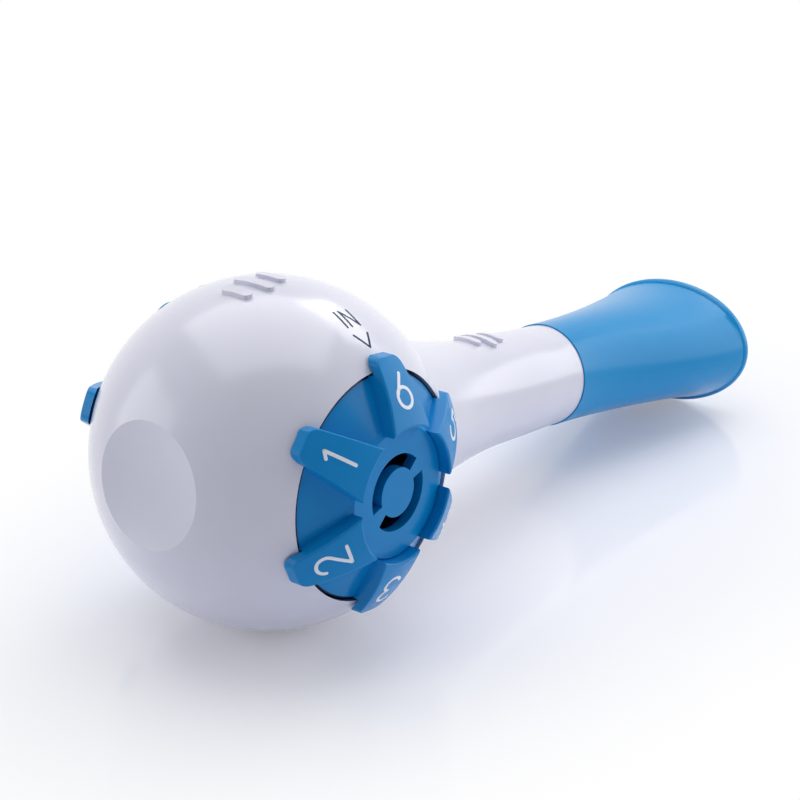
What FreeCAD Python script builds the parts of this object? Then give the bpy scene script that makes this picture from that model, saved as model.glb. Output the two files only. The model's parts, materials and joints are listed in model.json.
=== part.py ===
import FreeCAD, Part
import math
import os

import Sketcher
from FreeCAD import Vector

# Breathing trainer: a hollow ball with an inhale dial and an exhale dial, a neck and a pull-off mouthpiece.
# Modelled about the ball's centre: +X along the neck, +Z up through the grip ribs, the inhale dial on -Y.
# At the end every piece is turned to the way the trainer lies on a table, on the ball and the lip.

DRIVING_SIZES = {
    # Ball
    "ball_radius": 32.0,
    "ball_wall": 2.2,
    "dimple_radius": 11.2,
    "dimple_depth": 1.0,
    "collar_radius": 18.2,
    "collar_sink": 4.4,
    "collar_well_gap": 0.6,
    # Dial wells
    "well_radius": 20.6,
    "well_wall": 1.8,
    "well_depth": 10.49,
    "ledge_thickness": 1.0,
    "ledge_width": 1.2,
    # Grip ribs
    "rib_width": 2.0,
    "rib_height": 0.7,
    "rib_long": 9.0,
    "rib_short": 6.5,
    "ball_rib_middle": -6.2,
    "ball_rib_pitch": 4.2,
    "neck_rib_middle": 63.0,
    "neck_rib_pitch": 4.0,
    # Neck
    "neck_seam_gap": 0.4,
    "neck_root_radius": 17.8,
    "neck_waist_radius": 11.4,
    "neck_waist_place": 70.0,
    "neck_end_place": 88.0,
    "neck_end_radius": 11.0,
    "neck_shoulder_width": 3.0,
    "plug_radius": 12.3,
    "plug_overhang": 1.4,
    "front_bore_length": 6.0,
    "plug_bore_radius": 10.6,
    "snap_bead_height": 0.5,
    "snap_bead_lead": 0.2,
    "spigot_radius": 9.6,
    "spigot_tip_radius": 9.45,
    "spigot_length": 19.0,
    "spigot_bore_radius": 7.6,
    # Mouthpiece
    "mouthpiece_end": 145.4,
    "mouthpiece_start_radius": 11.25,
    "mouthpiece_half_height": 12.5,
    "mouthpiece_side_spread": 7.0,
    "lip_half_height": 14.4,
    "lip_side_spread": 6.6,
    "lip_thickness": 2.8,
    "lip_rounding": 1.3,
    "lip_step": 0.8,
    "lip_root": 0.2,
    "mouth_half_height": 10.6,
    "mouth_side_spread": 7.0,
    "socket_end_bore": 8.2,
    "socket_play": 0.6,
    # Dial
    "hub_sink": 2.5,
    "hub_radius": 11.6,
    "hub_chamfer": 0.8,
    "hub_inner_inset": 0.4,
    "dial_gap": 0.4,
    "dial_rim_sink": 0.49,
    "dial_wall": 1.9,
    "dial_rim_wall": 0.6,
    "dial_inner_step": 0.7,
    "skirt_wall": 1.6,
    "stem_radius": 3.0,
    "lug_rise": 2.0,
    "lug_root_rise": 2.0,
    "lug_hub_gap": 0.3,
    "lug_inner_half_width": 4.85,
    "lug_overhang": 2.4,
    "lug_side_angle": 8.8,
    "lug_corner_radius": 1.8,
    "lug_edge_rounding": 0.35,
    "lug_tip_clearance": 0.45,
    "inhale_positions": 6,
    "exhale_positions": 5,
    "vent_inner_radius": 4.4,
    "vent_outer_radius": 6.9,
    "vent_half_angle": 77.0,
    "vent_count": 2,
    "vent_turn": 36.0,
    # Metering disc and seat plate
    "disc_thickness": 1.8,
    "plate_thickness": 1.6,
    "window_place": 10.6,
    "window_radius": 3.2,
    "largest_orifice": 2.9,
    "smallest_orifice": 1.1,
    "gasket_width": 1.1,
    "gasket_seat_depth": 0.8,
    "key_width": 3.0,
    "key_depth": 0.8,
    # Detent
    "detent_edge_gap": 0.5,
    "detent_ball_radius": 1.5,
    "detent_ball_sink": 0.35,
    "spring_wire_radius": 0.22,
    "spring_length": 3.0,
    "spring_turns": 3,
    "detent_boss_wall": 1.1,
    "detent_notch_depth": 0.3,
    "detent_track_clearance": 0.08,
    # Axle
    "washer_radius": 4.6,
    "washer_thickness": 0.8,
    "screw_head_radius": 4.0,
    "screw_head_height": 1.9,
    "screw_head_chamfer": 0.5,
    "screw_slot_half_width": 0.4,
    "screw_slot_depth": 0.8,
    "screw_slot_arms": 4,
    "screw_radius": 1.45,
    "screw_length": 7.0,
    "screw_tip_chamfer": 0.6,
    "screw_hole_room": 0.5,
    # One-way valves
    "cage_half_width": 5.0,
    "cage_wall": 0.8,
    "cage_depth": 8.0,
    "cage_web": 1.0,
    "port_radius": 2.8,
    "flap_radius": 3.6,
    "flap_thickness": 0.7,
    "flap_pin_radius": 0.5,
    "flap_knuckle_radius": 0.9,
    "flap_knuckle_length": 5.0,
    "flap_knuckle_gap": 0.2,
    # Seals
    "seal_ring_radius": 0.7,
    "seal_groove_play": 0.3,
    "neck_seal_depth": 3.0,
    "mouthpiece_seal_depth": 7.0,
    # Clearances
    "turning_clearance": 0.05,
    "sliding_clearance": 0.05,
    "seat_clearance": 0.1,
    "disc_lift": 0.3,
}

# How far a cutter passes the face that it opens, and how far fused solids reach into each other
OVERSHOOT = 1.0
MERGE = 0.1
# Edges and numbers that differ by less than this are taken as equal
CLOSE = 0.01

document = FreeCAD.newDocument("breathing_trainer")
sheet = document.addObject("Spreadsheet::Sheet", "sizes")
for row, (alias, number) in enumerate(DRIVING_SIZES.items(), 1):
    sheet.set(f"A{row}", alias.replace("_", " "))
    sheet.set(f"B{row}", str(number))
    sheet.setAlias(f"B{row}", alias)
document.recompute()


class Size:
    """A size of the sheet, or a formula of some: its number now and the formula that binds to the sheet."""

    def __init__(self, number, formula):
        self.number = number
        self.formula = formula

    def __add__(self, other):
        return join(self, other, "+", self.number + number_of(other))

    def __sub__(self, other):
        return join(self, other, "-", self.number - number_of(other))

    def __mul__(self, other):
        return join(self, other, "*", self.number * number_of(other))

    def __truediv__(self, other):
        return join(self, other, "/", self.number / number_of(other))

    def __neg__(self):
        return Size(-self.number, f"(-1 * {self.formula})")


def number_of(value):
    return value.number if isinstance(value, Size) else float(value)


def formula_of(value):
    return value.formula if isinstance(value, Size) else f"({value})"


def join(first, second, sign, number):
    return Size(number, f"({formula_of(first)} {sign} {formula_of(second)})")


def leg(longest, other):
    """The third side of a right-angled triangle, from its longest side and one other."""
    number = math.sqrt(number_of(longest) ** 2 - number_of(other) ** 2)
    return Size(number, f"sqrt({formula_of(longest)}^2 - {formula_of(other)}^2)")


def hypotenuse(first, second):
    number = math.hypot(number_of(first), number_of(second))
    return Size(number, f"sqrt({formula_of(first)}^2 + {formula_of(second)}^2)")


def sine(angle):
    return Size(math.sin(math.radians(number_of(angle))), f"sin({formula_of(angle)})")


def cosine(angle):
    return Size(math.cos(math.radians(number_of(angle))), f"cos({formula_of(angle)})")


def arcsine(ratio):
    return Size(math.degrees(math.asin(number_of(ratio))), f"asin({formula_of(ratio)}) / 1deg")


def arctangent(ratio):
    return Size(math.degrees(math.atan(number_of(ratio))), f"atan({formula_of(ratio)}) / 1deg")


def of_sheet(alias):
    return Size(float(DRIVING_SIZES[alias]), f"sizes.{alias}")


def bind(thing, **values):
    """Set properties of an object from sizes, and bind them to the sheet."""
    for name, value in values.items():
        path = name.replace("__", ".")
        if isinstance(value, Size):
            thing.setExpression(path, value.formula)
        elif "." in path:
            thing.setExpression(path, str(value))
        else:
            setattr(thing, path, value)


ball_radius = of_sheet("ball_radius")
dimple_plane = leg(ball_radius, of_sheet("dimple_radius"))
mouthpiece_end = of_sheet("mouthpiece_end")
lip_half_height = of_sheet("lip_half_height")
lip_rounding = of_sheet("lip_rounding")
roll_place = mouthpiece_end - lip_rounding
roll_height = lip_half_height - lip_rounding
roll_reach = hypotenuse(roll_place, roll_height)
rest_tilt = arcsine((ball_radius - lip_rounding) / roll_reach) - arctangent(roll_height / roll_place)
front_reach = dimple_plane * cosine(rest_tilt) + of_sheet("dimple_radius") * sine(rest_tilt)
back_reach = roll_place * cosine(rest_tilt) + roll_height * sine(rest_tilt) + lip_rounding

SIDES = {"inhale": -1, "exhale": 1}
POSITIONS = {"inhale": of_sheet("inhale_positions"), "exhale": of_sheet("exhale_positions")}
sub_parts = []


def name_sub_part(thing, label):
    """Give a finished piece its name and turn it to the way the trainer lies on a table."""
    thing.Label = label
    bind(
        thing,
        Placement__Base__x=(front_reach - back_reach) / 2,
        Placement__Base__z=ball_radius,
        Placement__Rotation__Axis__y=1,
        Placement__Rotation__Axis__z=0,
        Placement__Rotation__Angle=rest_tilt,
    )
    sub_parts.append(thing)
    return thing


# Sketch helpers

def new_body(label):
    body = document.addObject("PartDesign::Body", label)
    body.Label = label
    return body


def new_sketch(body, name, plane, lift=None):
    """A sketch on one of the body's own origin planes, lifted along that plane's normal."""
    sketch = body.newObject("Sketcher::SketchObject", name)
    support = [feature for feature in body.Origin.OriginFeatures if feature.Role == plane][0]
    sketch.AttachmentSupport = [(support, "")]
    sketch.MapMode = "FlatFace"
    if lift is not None:
        sketch.setExpression("AttachmentOffset.Base.z", lift.formula)
    return sketch


def fix(sketch, kind, size, *parts):
    """A driving dimension of a sketch, bound to the sheet."""
    number = math.radians(size.number) if kind == "Angle" else size.number
    index = sketch.addConstraint(Sketcher.Constraint(kind, *parts, number))
    sketch.setExpression(f"Constraints[{index}]", size.formula)


def fix_corner(sketch, geometry, end, corner, on_arc):
    """Hold one corner at its two coordinates, or at the first alone where an arc gives the second."""
    across, along = corner
    if number_of(across) == 0:
        sketch.addConstraint(Sketcher.Constraint("PointOnObject", geometry, end, -2))
    else:
        fix(sketch, "DistanceX", across, -1, 1, geometry, end)
    if on_arc:
        return
    if number_of(along) == 0:
        sketch.addConstraint(Sketcher.Constraint("PointOnObject", geometry, end, -1))
    else:
        fix(sketch, "DistanceY", along, -1, 1, geometry, end)


def point(corner):
    return Vector(number_of(corner[0]), number_of(corner[1]), 0)


def draw_loop(sketch, corners, arcs=None):
    """A closed outline. arcs gives the radius of each edge that is an arc about the sketch's origin."""
    arcs = arcs or {}
    count = len(corners)
    edges = []
    for index, corner in enumerate(corners):
        start = point(corner)
        finish = point(corners[(index + 1) % count])
        if index not in arcs:
            edges.append((sketch.addGeometry(Part.LineSegment(start, finish)), 1, 2))
            continue
        first = math.atan2(start.y, start.x)
        last = math.atan2(finish.y, finish.x)
        forwards = (last - first) % (2 * math.pi) < math.pi
        circle = Part.Circle(Vector(0, 0, 0), Vector(0, 0, 1), arcs[index].number)
        if forwards:
            edges.append((sketch.addGeometry(Part.ArcOfCircle(circle, first, last)), 1, 2))
        else:
            edges.append((sketch.addGeometry(Part.ArcOfCircle(circle, last, first)), 2, 1))
    for index, (geometry, _, far) in enumerate(edges):
        following, near, _ = edges[(index + 1) % count]
        sketch.addConstraint(Sketcher.Constraint("Coincident", geometry, far, following, near))
    for index, radius in arcs.items():
        sketch.addConstraint(Sketcher.Constraint("Coincident", edges[index][0], 3, -1, 1))
        fix(sketch, "Radius", radius, edges[index][0])
    for index, (geometry, near, _) in enumerate(edges):
        on_arc = index in arcs or (index - 1) % count in arcs
        fix_corner(sketch, geometry, near, corners[index], on_arc)


def draw_circle(sketch, across, along, radius):
    centre = (across, along)
    circle = sketch.addGeometry(Part.Circle(point(centre), Vector(0, 0, 1), radius.number))
    fix_corner(sketch, circle, 3, centre, False)
    fix(sketch, "Radius", radius, circle)


# Feature helpers

def spin(body, kind, sketch, name, axis="V_Axis"):
    """A Revolution or a Groove right round one axis of its sketch."""
    feature = body.newObject(f"PartDesign::{kind}", name)
    feature.Profile = sketch
    feature.ReferenceAxis = (sketch, [axis])
    feature.Angle = 360
    return feature


def raise_pad(body, sketch, name, length, reversed_=False):
    feature = body.newObject("PartDesign::Pad", name)
    feature.Profile = sketch
    feature.Reversed = reversed_
    bind(feature, Length=length)
    return feature


def cut_pocket(body, sketch, name, length, reversed_=False):
    feature = body.newObject("PartDesign::Pocket", name)
    feature.Profile = sketch
    feature.Reversed = reversed_
    bind(feature, Length=length)
    return feature


def repeat_round(body, feature, sketch, name, count):
    """Repeat a feature round the normal of its sketch."""
    pattern = body.newObject("PartDesign::PolarPattern", name)
    pattern.Originals = [feature]
    pattern.Axis = (sketch, ["N_Axis"])
    pattern.Angle = 360
    bind(pattern, Occurrences=count)
    body.Tip = pattern
    return pattern


def primitive(kind, label, **values):
    thing = document.addObject(f"Part::{kind}", label)
    thing.Label = label
    bind(thing, **values)
    return thing


def combine(kind, label, first, second):
    """A Cut, Fuse or Common of two objects."""
    thing = document.addObject(f"Part::{kind}", label)
    thing.Label = label
    thing.Base = first
    thing.Tool = second
    return thing


def combine_all(label, things):
    thing = document.addObject("Part::MultiFuse", label)
    thing.Label = label
    thing.Shapes = things
    return thing


def rod_along(label, start, end, radius, tip_radius=None):
    """A cylinder, or a cone where a tip radius is given, on the neck's axis."""
    values = {"Radius": radius} if tip_radius is None else {"Radius1": radius, "Radius2": tip_radius}
    kind = "Cylinder" if tip_radius is None else "Cone"
    return primitive(
        kind,
        label,
        Height=end - start,
        Placement__Base__x=start,
        Placement__Rotation__Axis__y=1,
        Placement__Rotation__Axis__z=0,
        Placement__Rotation__Angle=90,
        **values,
    )


def rod_outward(label, side, start, end, radius):
    """A cylinder on the dial axis, from one height to another on that side of the ball."""
    return primitive(
        "Cylinder",
        label,
        Radius=radius,
        Height=end - start,
        Placement__Base__y=start * side,
        Placement__Rotation__Axis__x=1,
        Placement__Rotation__Axis__z=0,
        Placement__Rotation__Angle=-90 * side,
    )


def ring_cutter(label, middle, width, inner_radius, outer_radius):
    """What a groove round the neck's axis takes away."""
    outside = rod_along(f"{label}_outside", middle - width / 2, middle + width / 2, outer_radius)
    inside = rod_along(f"{label}_inside", middle - width, middle + width, inner_radius)
    return combine("Cut", label, outside, inside)


def oval(label, place, half_height, side_spread):
    """An upright oval across the neck's axis, half_height high and half_height + side_spread wide."""
    return primitive(
        "Ellipse",
        label,
        MajorRadius=half_height + side_spread,
        MinorRadius=half_height,
        Placement__Base__x=place,
        Placement__Rotation__Axis__x=1 / math.sqrt(3),
        Placement__Rotation__Axis__y=1 / math.sqrt(3),
        Placement__Rotation__Axis__z=1 / math.sqrt(3),
        Placement__Rotation__Angle=120,
    )


def loft(label, ovals):
    thing = document.addObject("Part::Loft", label)
    thing.Label = label
    thing.Sections = ovals
    thing.Solid = True
    return thing


def grip_rib(label, place, length):
    """A round-ended bar across the neck's axis, tall enough to be cut to its surface."""
    width = of_sheet("rib_width")
    half_straight = (length - width) / 2
    bar = primitive(
        "Box",
        f"{label}_bar",
        Length=width,
        Width=half_straight * 2,
        Height=ball_radius * 2,
        Placement__Base__x=place - width / 2,
        Placement__Base__y=-half_straight,
    )
    ends = []
    for side in (-1, 1):
        end = primitive(
            "Cylinder",
            f"{label}_end",
            Radius=width / 2,
            Height=ball_radius * 2,
            Placement__Base__x=place,
            Placement__Base__y=half_straight * side,
        )
        ends.append(end)
    return combine_all(label, [bar] + ends)


def grip_ribs(label, middle, pitch, skin):
    """Three ribs, the middle one longer, cut off by a skin just above the surface they stand on."""
    lengths = (of_sheet("rib_short"), of_sheet("rib_long"), of_sheet("rib_short"))
    ribs = []
    for step, length in enumerate(lengths):
        ribs.append(grip_rib(f"{label}_{step}", middle + pitch * (step - 1), length))
    return combine("Common", label, combine_all(f"{label}_bars", ribs), skin)


# Ball

well_radius = of_sheet("well_radius")
well_mouth = leg(ball_radius, well_radius)
ledge_height = well_mouth - of_sheet("well_depth")
plug_radius = of_sheet("plug_radius")
collar_face = ball_radius - of_sheet("collar_sink")
collar_back = well_radius + of_sheet("well_wall") + of_sheet("collar_well_gap")
plug_end = collar_back - of_sheet("plug_overhang")
seat_clearance = of_sheet("seat_clearance")
turning_clearance = of_sheet("turning_clearance")
ledge_bore_radius = well_radius - of_sheet("ledge_width")


def make_ball_shell():
    """Hollow ball with a thumb dimple, a collar for the neck, two dial wells and three grip ribs."""
    wall = of_sheet("ball_wall")
    inside_radius = ball_radius - wall
    dimple_radius = of_sheet("dimple_radius")
    depth = of_sheet("dimple_depth")
    dish_radius = (dimple_radius * dimple_radius + depth * depth) / (depth * 2)
    dish_centre = -(dimple_plane - depth + dish_radius)
    ledge_back = ledge_height - of_sheet("ledge_thickness")

    ball = primitive("Sphere", "ball", Radius=ball_radius)
    rib_skin = primitive("Sphere", "ball_rib_skin", Radius=ball_radius + of_sheet("rib_height"))
    ribs = grip_ribs("ball_ribs", of_sheet("ball_rib_middle"), of_sheet("ball_rib_pitch"), rib_skin)
    collar = rod_along("collar", collar_back, collar_face, of_sheet("collar_radius"))
    outside = combine_all("ball_outside", [ball, collar, ribs])

    kept = [rod_along("collar_core", collar_back, collar_face, of_sheet("collar_radius"))]
    kept.append(
        primitive("Sphere", "dimple_back", Radius=dish_radius + wall, Placement__Base__x=dish_centre)
    )
    beyond = ball_radius + OVERSHOOT
    openings = [rod_along("collar_bore", plug_end - OVERSHOOT, beyond, plug_radius + seat_clearance)]
    openings.append(rod_along("collar_facing", collar_face, beyond, of_sheet("collar_radius")))
    openings.append(primitive("Sphere", "dimple_dish", Radius=dish_radius, Placement__Base__x=dish_centre))
    well_outside = well_radius + of_sheet("well_wall")
    bore_start = ledge_back - OVERSHOOT
    bore_end = ledge_height + OVERSHOOT
    for name, side in SIDES.items():
        kept.append(rod_outward(f"{name}_well", side, ledge_back, ball_radius, well_outside))
        openings.append(rod_outward(f"{name}_well_bore", side, ledge_height, ball_radius, well_radius))
        openings.append(rod_outward(f"{name}_ledge_bore", side, bore_start, bore_end, ledge_bore_radius))
    room = primitive("Sphere", "ball_room", Radius=inside_radius)
    cavity = combine("Cut", "ball_cavity", room, combine_all("kept_inside", kept))
    hollow = combine("Cut", "hollow_ball", outside, cavity)
    shell = combine("Cut", "ball_shell", hollow, combine_all("ball_openings", openings))
    return name_sub_part(shell, "ball_shell")


# Neck

NECK_FLARE_SECTIONS = 6
NECK_TAPER_SECTIONS = 2
NECK_RIB_SHARE = 0.68
NO_SPREAD = Size(0.0, "0")
neck_end = of_sheet("neck_end_place")
neck_start = collar_face + of_sheet("neck_seam_gap")
neck_waist_place = of_sheet("neck_waist_place")
neck_waist_radius = of_sheet("neck_waist_radius")
spigot_radius = of_sheet("spigot_radius")
seal_ring_radius = of_sheet("seal_ring_radius")
neck_seal_place = collar_face - of_sheet("neck_seal_depth")
mouthpiece_seal_place = neck_end + of_sheet("mouthpiece_seal_depth")


def neck_section(share):
    """Place and radius of the flaring neck at a share of the way from the ball to the waist."""
    place = neck_start + (neck_waist_place - neck_start) * share
    radius = neck_waist_radius + (of_sheet("neck_root_radius") - neck_waist_radius) * (1 - share) ** 2
    return place, radius


def neck_rounds():
    """Round sections from the flare at the ball, through the waist, to the end under the mouthpiece."""
    rounds = []
    for step in range(NECK_FLARE_SECTIONS + 1):
        place, radius = neck_section(step / NECK_FLARE_SECTIONS)
        rounds.append(oval(f"neck_round_{step}", place, radius, NO_SPREAD))
    for step in range(1, NECK_TAPER_SECTIONS + 1):
        share = step / NECK_TAPER_SECTIONS
        place = neck_waist_place + (neck_end - neck_waist_place) * share
        radius = neck_waist_radius + (of_sheet("neck_end_radius") - neck_waist_radius) * share
        rounds.append(oval(f"neck_taper_{step}", place, radius, NO_SPREAD))
    return rounds


def make_neck_tube():
    """Flared neck with a snap-in plug at the ball and a round spigot for the mouthpiece."""
    bore = of_sheet("spigot_bore_radius")
    plug_bore = of_sheet("plug_bore_radius")
    spigot_end = neck_end + of_sheet("spigot_length")
    bead_radius = plug_radius + of_sheet("snap_bead_height")
    bead_start_radius = plug_radius - of_sheet("snap_bead_lead")
    shoulder_radius = plug_radius + of_sheet("neck_shoulder_width")
    seal_width = seal_ring_radius * 2 + of_sheet("seal_groove_play")
    root = neck_start + OVERSHOOT

    parts = [loft("neck_outside", neck_rounds())]
    parts.append(rod_along("neck_plug", plug_end, root, plug_radius))
    parts.append(rod_along("snap_bead", plug_end, collar_back - MERGE, bead_start_radius, bead_radius))
    parts.append(rod_along("neck_shoulder", collar_face, root, shoulder_radius))
    spigot_tip = of_sheet("spigot_tip_radius")
    parts.append(rod_along("spigot", neck_end - OVERSHOOT, spigot_end, spigot_radius, spigot_tip))
    skin_start, skin_radius = neck_section(NECK_RIB_SHARE)
    rib_height = of_sheet("rib_height")
    waist_skin = rod_along(
        "neck_rib_skin",
        skin_start,
        neck_waist_place,
        skin_radius + rib_height,
        neck_waist_radius + rib_height,
    )
    rib_middle = of_sheet("neck_rib_middle")
    parts.append(grip_ribs("neck_ribs", rib_middle, of_sheet("neck_rib_pitch"), waist_skin))
    solid = combine_all("neck_solid", parts)

    taper_start = neck_start + of_sheet("front_bore_length")
    cutters = [rod_along("neck_front_bore", plug_end - OVERSHOOT, taper_start + MERGE, plug_bore)]
    cutters.append(rod_along("neck_taper_bore", taper_start, neck_waist_place, plug_bore, bore))
    cutters.append(rod_along("neck_back_bore", neck_waist_place - MERGE, spigot_end + OVERSHOOT, bore))
    for label, place, outer in (
        ("neck_seal", neck_seal_place, plug_radius),
        ("mouthpiece_seal", mouthpiece_seal_place, spigot_radius),
    ):
        bottom = outer - seal_ring_radius * 2
        cutters.append(ring_cutter(f"{label}_groove", place, seal_width, bottom, outer + OVERSHOOT))
    neck = combine("Cut", "neck_tube", solid, combine_all("neck_openings", cutters))
    return name_sub_part(neck, "neck_tube")


def make_seal_ring(label, place, outer):
    """O-ring in its groove, flush with the plug or spigot that carries it."""
    body = new_body(label)
    section = new_sketch(body, f"{label}_section", "XY_Plane")
    draw_circle(section, place, outer - seal_ring_radius, seal_ring_radius)
    spin(body, "Revolution", section, f"{label}_ring", "H_Axis")
    return name_sub_part(body, label)


# Mouthpiece

MOUTHPIECE_SECTIONS = 7
BORE_SECTIONS = 4
LIP_FLARE_POWER = 6


def make_mouthpiece():
    """Sleeve that slides on the spigot and widens sideways to a flat oval with a rolled lip."""
    start = neck_end + seat_clearance
    lip_thickness = of_sheet("lip_thickness")
    lip_place = mouthpiece_end - lip_thickness
    lip_spread = of_sheet("lip_side_spread")
    start_radius = of_sheet("mouthpiece_start_radius")
    middle_height = of_sheet("mouthpiece_half_height")
    end_spread = of_sheet("mouthpiece_side_spread")
    flare = lip_half_height - of_sheet("lip_step") - middle_height
    ovals = []
    for step in range(MOUTHPIECE_SECTIONS + 1):
        share = step / MOUTHPIECE_SECTIONS
        height = start_radius + (middle_height - start_radius) * share ** 2
        height = height + flare * share ** LIP_FLARE_POWER
        spread = end_spread * (share * share * (3 - 2 * share))
        place = start + (lip_place - start) * share
        ovals.append(oval(f"mouthpiece_oval_{step}", place, height, spread))
    body = loft("mouthpiece_outside", ovals)

    lip_ovals = []
    for step, place in enumerate((lip_place - of_sheet("lip_root"), mouthpiece_end)):
        lip_ovals.append(oval(f"lip_oval_{step}", place, lip_half_height, lip_spread))
    lip_block = loft("lip_block", lip_ovals)
    document.recompute()
    lip = document.addObject("Part::Fillet", "rounded_lip")
    lip.Base = lip_block
    rounding = lip_rounding.number
    edges = []
    for number, edge in enumerate(lip_block.Shape.Edges, 1):
        if edge.BoundBox.XLength < CLOSE and edge.Length > lip_half_height.number:
            edges.append((number, rounding, rounding))
    lip.Edges = edges
    solid = combine_all("mouthpiece_solid", [body, lip])

    socket_end = neck_end + of_sheet("spigot_length") + of_sheet("socket_play")
    socket_radius = spigot_radius + of_sheet("sliding_clearance")
    socket = rod_along("socket", start - OVERSHOOT, socket_end, socket_radius)
    mouth_height = of_sheet("mouth_half_height")
    mouth_spread = of_sheet("mouth_side_spread")
    bore = of_sheet("socket_end_bore")
    bore_start = socket_end - MERGE
    bore_end = mouthpiece_end + MERGE
    bore_ovals = []
    for step in range(BORE_SECTIONS + 1):
        share = step / BORE_SECTIONS
        place = bore_start + (bore_end - bore_start) * share
        height = bore + (mouth_height - bore) * share
        spread = mouth_spread * (share * (2 - share))
        bore_ovals.append(oval(f"bore_oval_{step}", place, height, spread))
    openings = combine_all("mouthpiece_openings", [socket, loft("mouthpiece_bore", bore_ovals)])
    return name_sub_part(combine("Cut", "mouthpiece", solid, openings), "mouthpiece")


# Dials. A height is a distance from the ball's centre outwards along the dial axis.

hub_face = ball_radius - of_sheet("hub_sink")
hub_radius = of_sheet("hub_radius")
lug_top_radius = ball_radius + of_sheet("lug_rise")
lug_inner_radius = hub_radius + of_sheet("lug_hub_gap")
lug_tip_radius = well_radius + of_sheet("lug_overhang")
stem_radius = of_sheet("stem_radius")
dial_radius = well_radius - of_sheet("dial_gap")
plate_top = ledge_height + of_sheet("plate_thickness")
disc_bottom = plate_top + of_sheet("disc_lift")
disc_top = disc_bottom + of_sheet("disc_thickness")
skirt_inside = dial_radius - of_sheet("skirt_wall")
washer_thickness = of_sheet("washer_thickness")
stem_end = ledge_height - washer_thickness - turning_clearance * 2
screw_radius = of_sheet("screw_radius")
key_width = of_sheet("key_width")
key_depth = of_sheet("key_depth")
window_place = of_sheet("window_place")


def face_sketch(body, name, side, height):
    """A sketch seen along the dial axis: across is +X, up is +Z."""
    return new_sketch(body, name, "XZ_Plane", height * -side)


def side_profile(body, name, side, corners, arcs=None):
    """Half a section through the dial axis: each corner is a radius and a height."""
    sketch = new_sketch(body, name, "XY_Plane")
    draw_loop(sketch, [(radius, as_size(height) * side) for radius, height in corners], arcs)
    return sketch


def as_size(value):
    return value if isinstance(value, Size) else Size(float(value), str(value))


def outward_pad(body, sketch, name, length, side):
    return raise_pad(body, sketch, name, length, side > 0)


def inward_pad(body, sketch, name, length, side):
    return raise_pad(body, sketch, name, length, side < 0)


def inward_pocket(body, sketch, name, length, side):
    return cut_pocket(body, sketch, name, length, side > 0)


def outward_pocket(body, sketch, name, length, side):
    return cut_pocket(body, sketch, name, length, side < 0)


def draw_lug(sketch):
    """A lug's outline: hollow towards the hub, tapering outwards to a round-cornered tip."""
    inner_radius = lug_inner_radius
    half_width = of_sheet("lug_inner_half_width")
    tip = lug_tip_radius
    corner = of_sheet("lug_corner_radius")
    lean = of_sheet("lug_side_angle")
    slope = math.radians(lean.number)
    inner_height = math.sqrt(inner_radius.number ** 2 - half_width.number ** 2)
    centre_height = tip.number - corner.number
    reach = corner.number + (centre_height - inner_height) * math.sin(slope)
    centre_across = half_width.number - reach / math.cos(slope)
    side_end = Vector(
        centre_across + corner.number * math.cos(slope), centre_height + corner.number * math.sin(slope), 0
    )
    half_angle = math.atan2(half_width.number, inner_height)
    upright = math.pi / 2

    origin = Vector(0, 0, 0)
    normal = Vector(0, 0, 1)
    hub_circle = Part.Circle(origin, normal, inner_radius.number)
    hub_arc = sketch.addGeometry(Part.ArcOfCircle(hub_circle, upright - half_angle, upright + half_angle))
    sides = []
    corners = []
    for way in (1, -1):
        foot = Vector(way * half_width.number, inner_height, 0)
        top = Vector(way * side_end.x, side_end.y, 0)
        sides.append(sketch.addGeometry(Part.LineSegment(foot, top)))
        circle = Part.Circle(Vector(way * centre_across, centre_height, 0), normal, corner.number)
        span = (slope, upright) if way > 0 else (upright, math.pi - slope)
        corners.append(sketch.addGeometry(Part.ArcOfCircle(circle, *span)))
    right = Vector(centre_across, tip.number, 0)
    left = Vector(-centre_across, tip.number, 0)
    tip_line = sketch.addGeometry(Part.LineSegment(right, left))

    sketch.addConstraint(Sketcher.Constraint("Coincident", hub_arc, 3, -1, 1))
    sketch.addConstraint(Sketcher.Constraint("Coincident", hub_arc, 1, sides[0], 1))
    sketch.addConstraint(Sketcher.Constraint("Coincident", hub_arc, 2, sides[1], 1))
    sketch.addConstraint(Sketcher.Constraint("Tangent", sides[0], 2, corners[0], 1))
    sketch.addConstraint(Sketcher.Constraint("Tangent", corners[0], 2, tip_line, 1))
    sketch.addConstraint(Sketcher.Constraint("Tangent", tip_line, 2, corners[1], 1))
    sketch.addConstraint(Sketcher.Constraint("Tangent", corners[1], 2, sides[1], 2))
    sketch.addConstraint(Sketcher.Constraint("Equal", sides[0], sides[1]))
    sketch.addConstraint(Sketcher.Constraint("Equal", corners[0], corners[1]))
    sketch.addConstraint(Sketcher.Constraint("Horizontal", tip_line))
    fix(sketch, "Radius", inner_radius, hub_arc)
    fix(sketch, "Radius", corner, corners[0])
    fix(sketch, "DistanceX", half_width, -1, 1, sides[0], 1)
    fix(sketch, "DistanceX", -half_width, -1, 1, sides[1], 1)
    fix(sketch, "DistanceY", tip, -1, 1, tip_line, 1)
    fix(sketch, "Angle", lean + 90, sides[0])


def sphere_band(body, name, side, sphere_radius, inner, outer, far_height):
    """Half a section between a sphere about the ball's centre and a far height, inner to outer radius."""
    corners = [
        (inner, leg(sphere_radius, inner)),
        (outer, leg(sphere_radius, outer)),
        (outer, far_height),
        (inner, far_height),
    ]
    return side_profile(body, name, side, corners, {0: sphere_radius})


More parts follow.
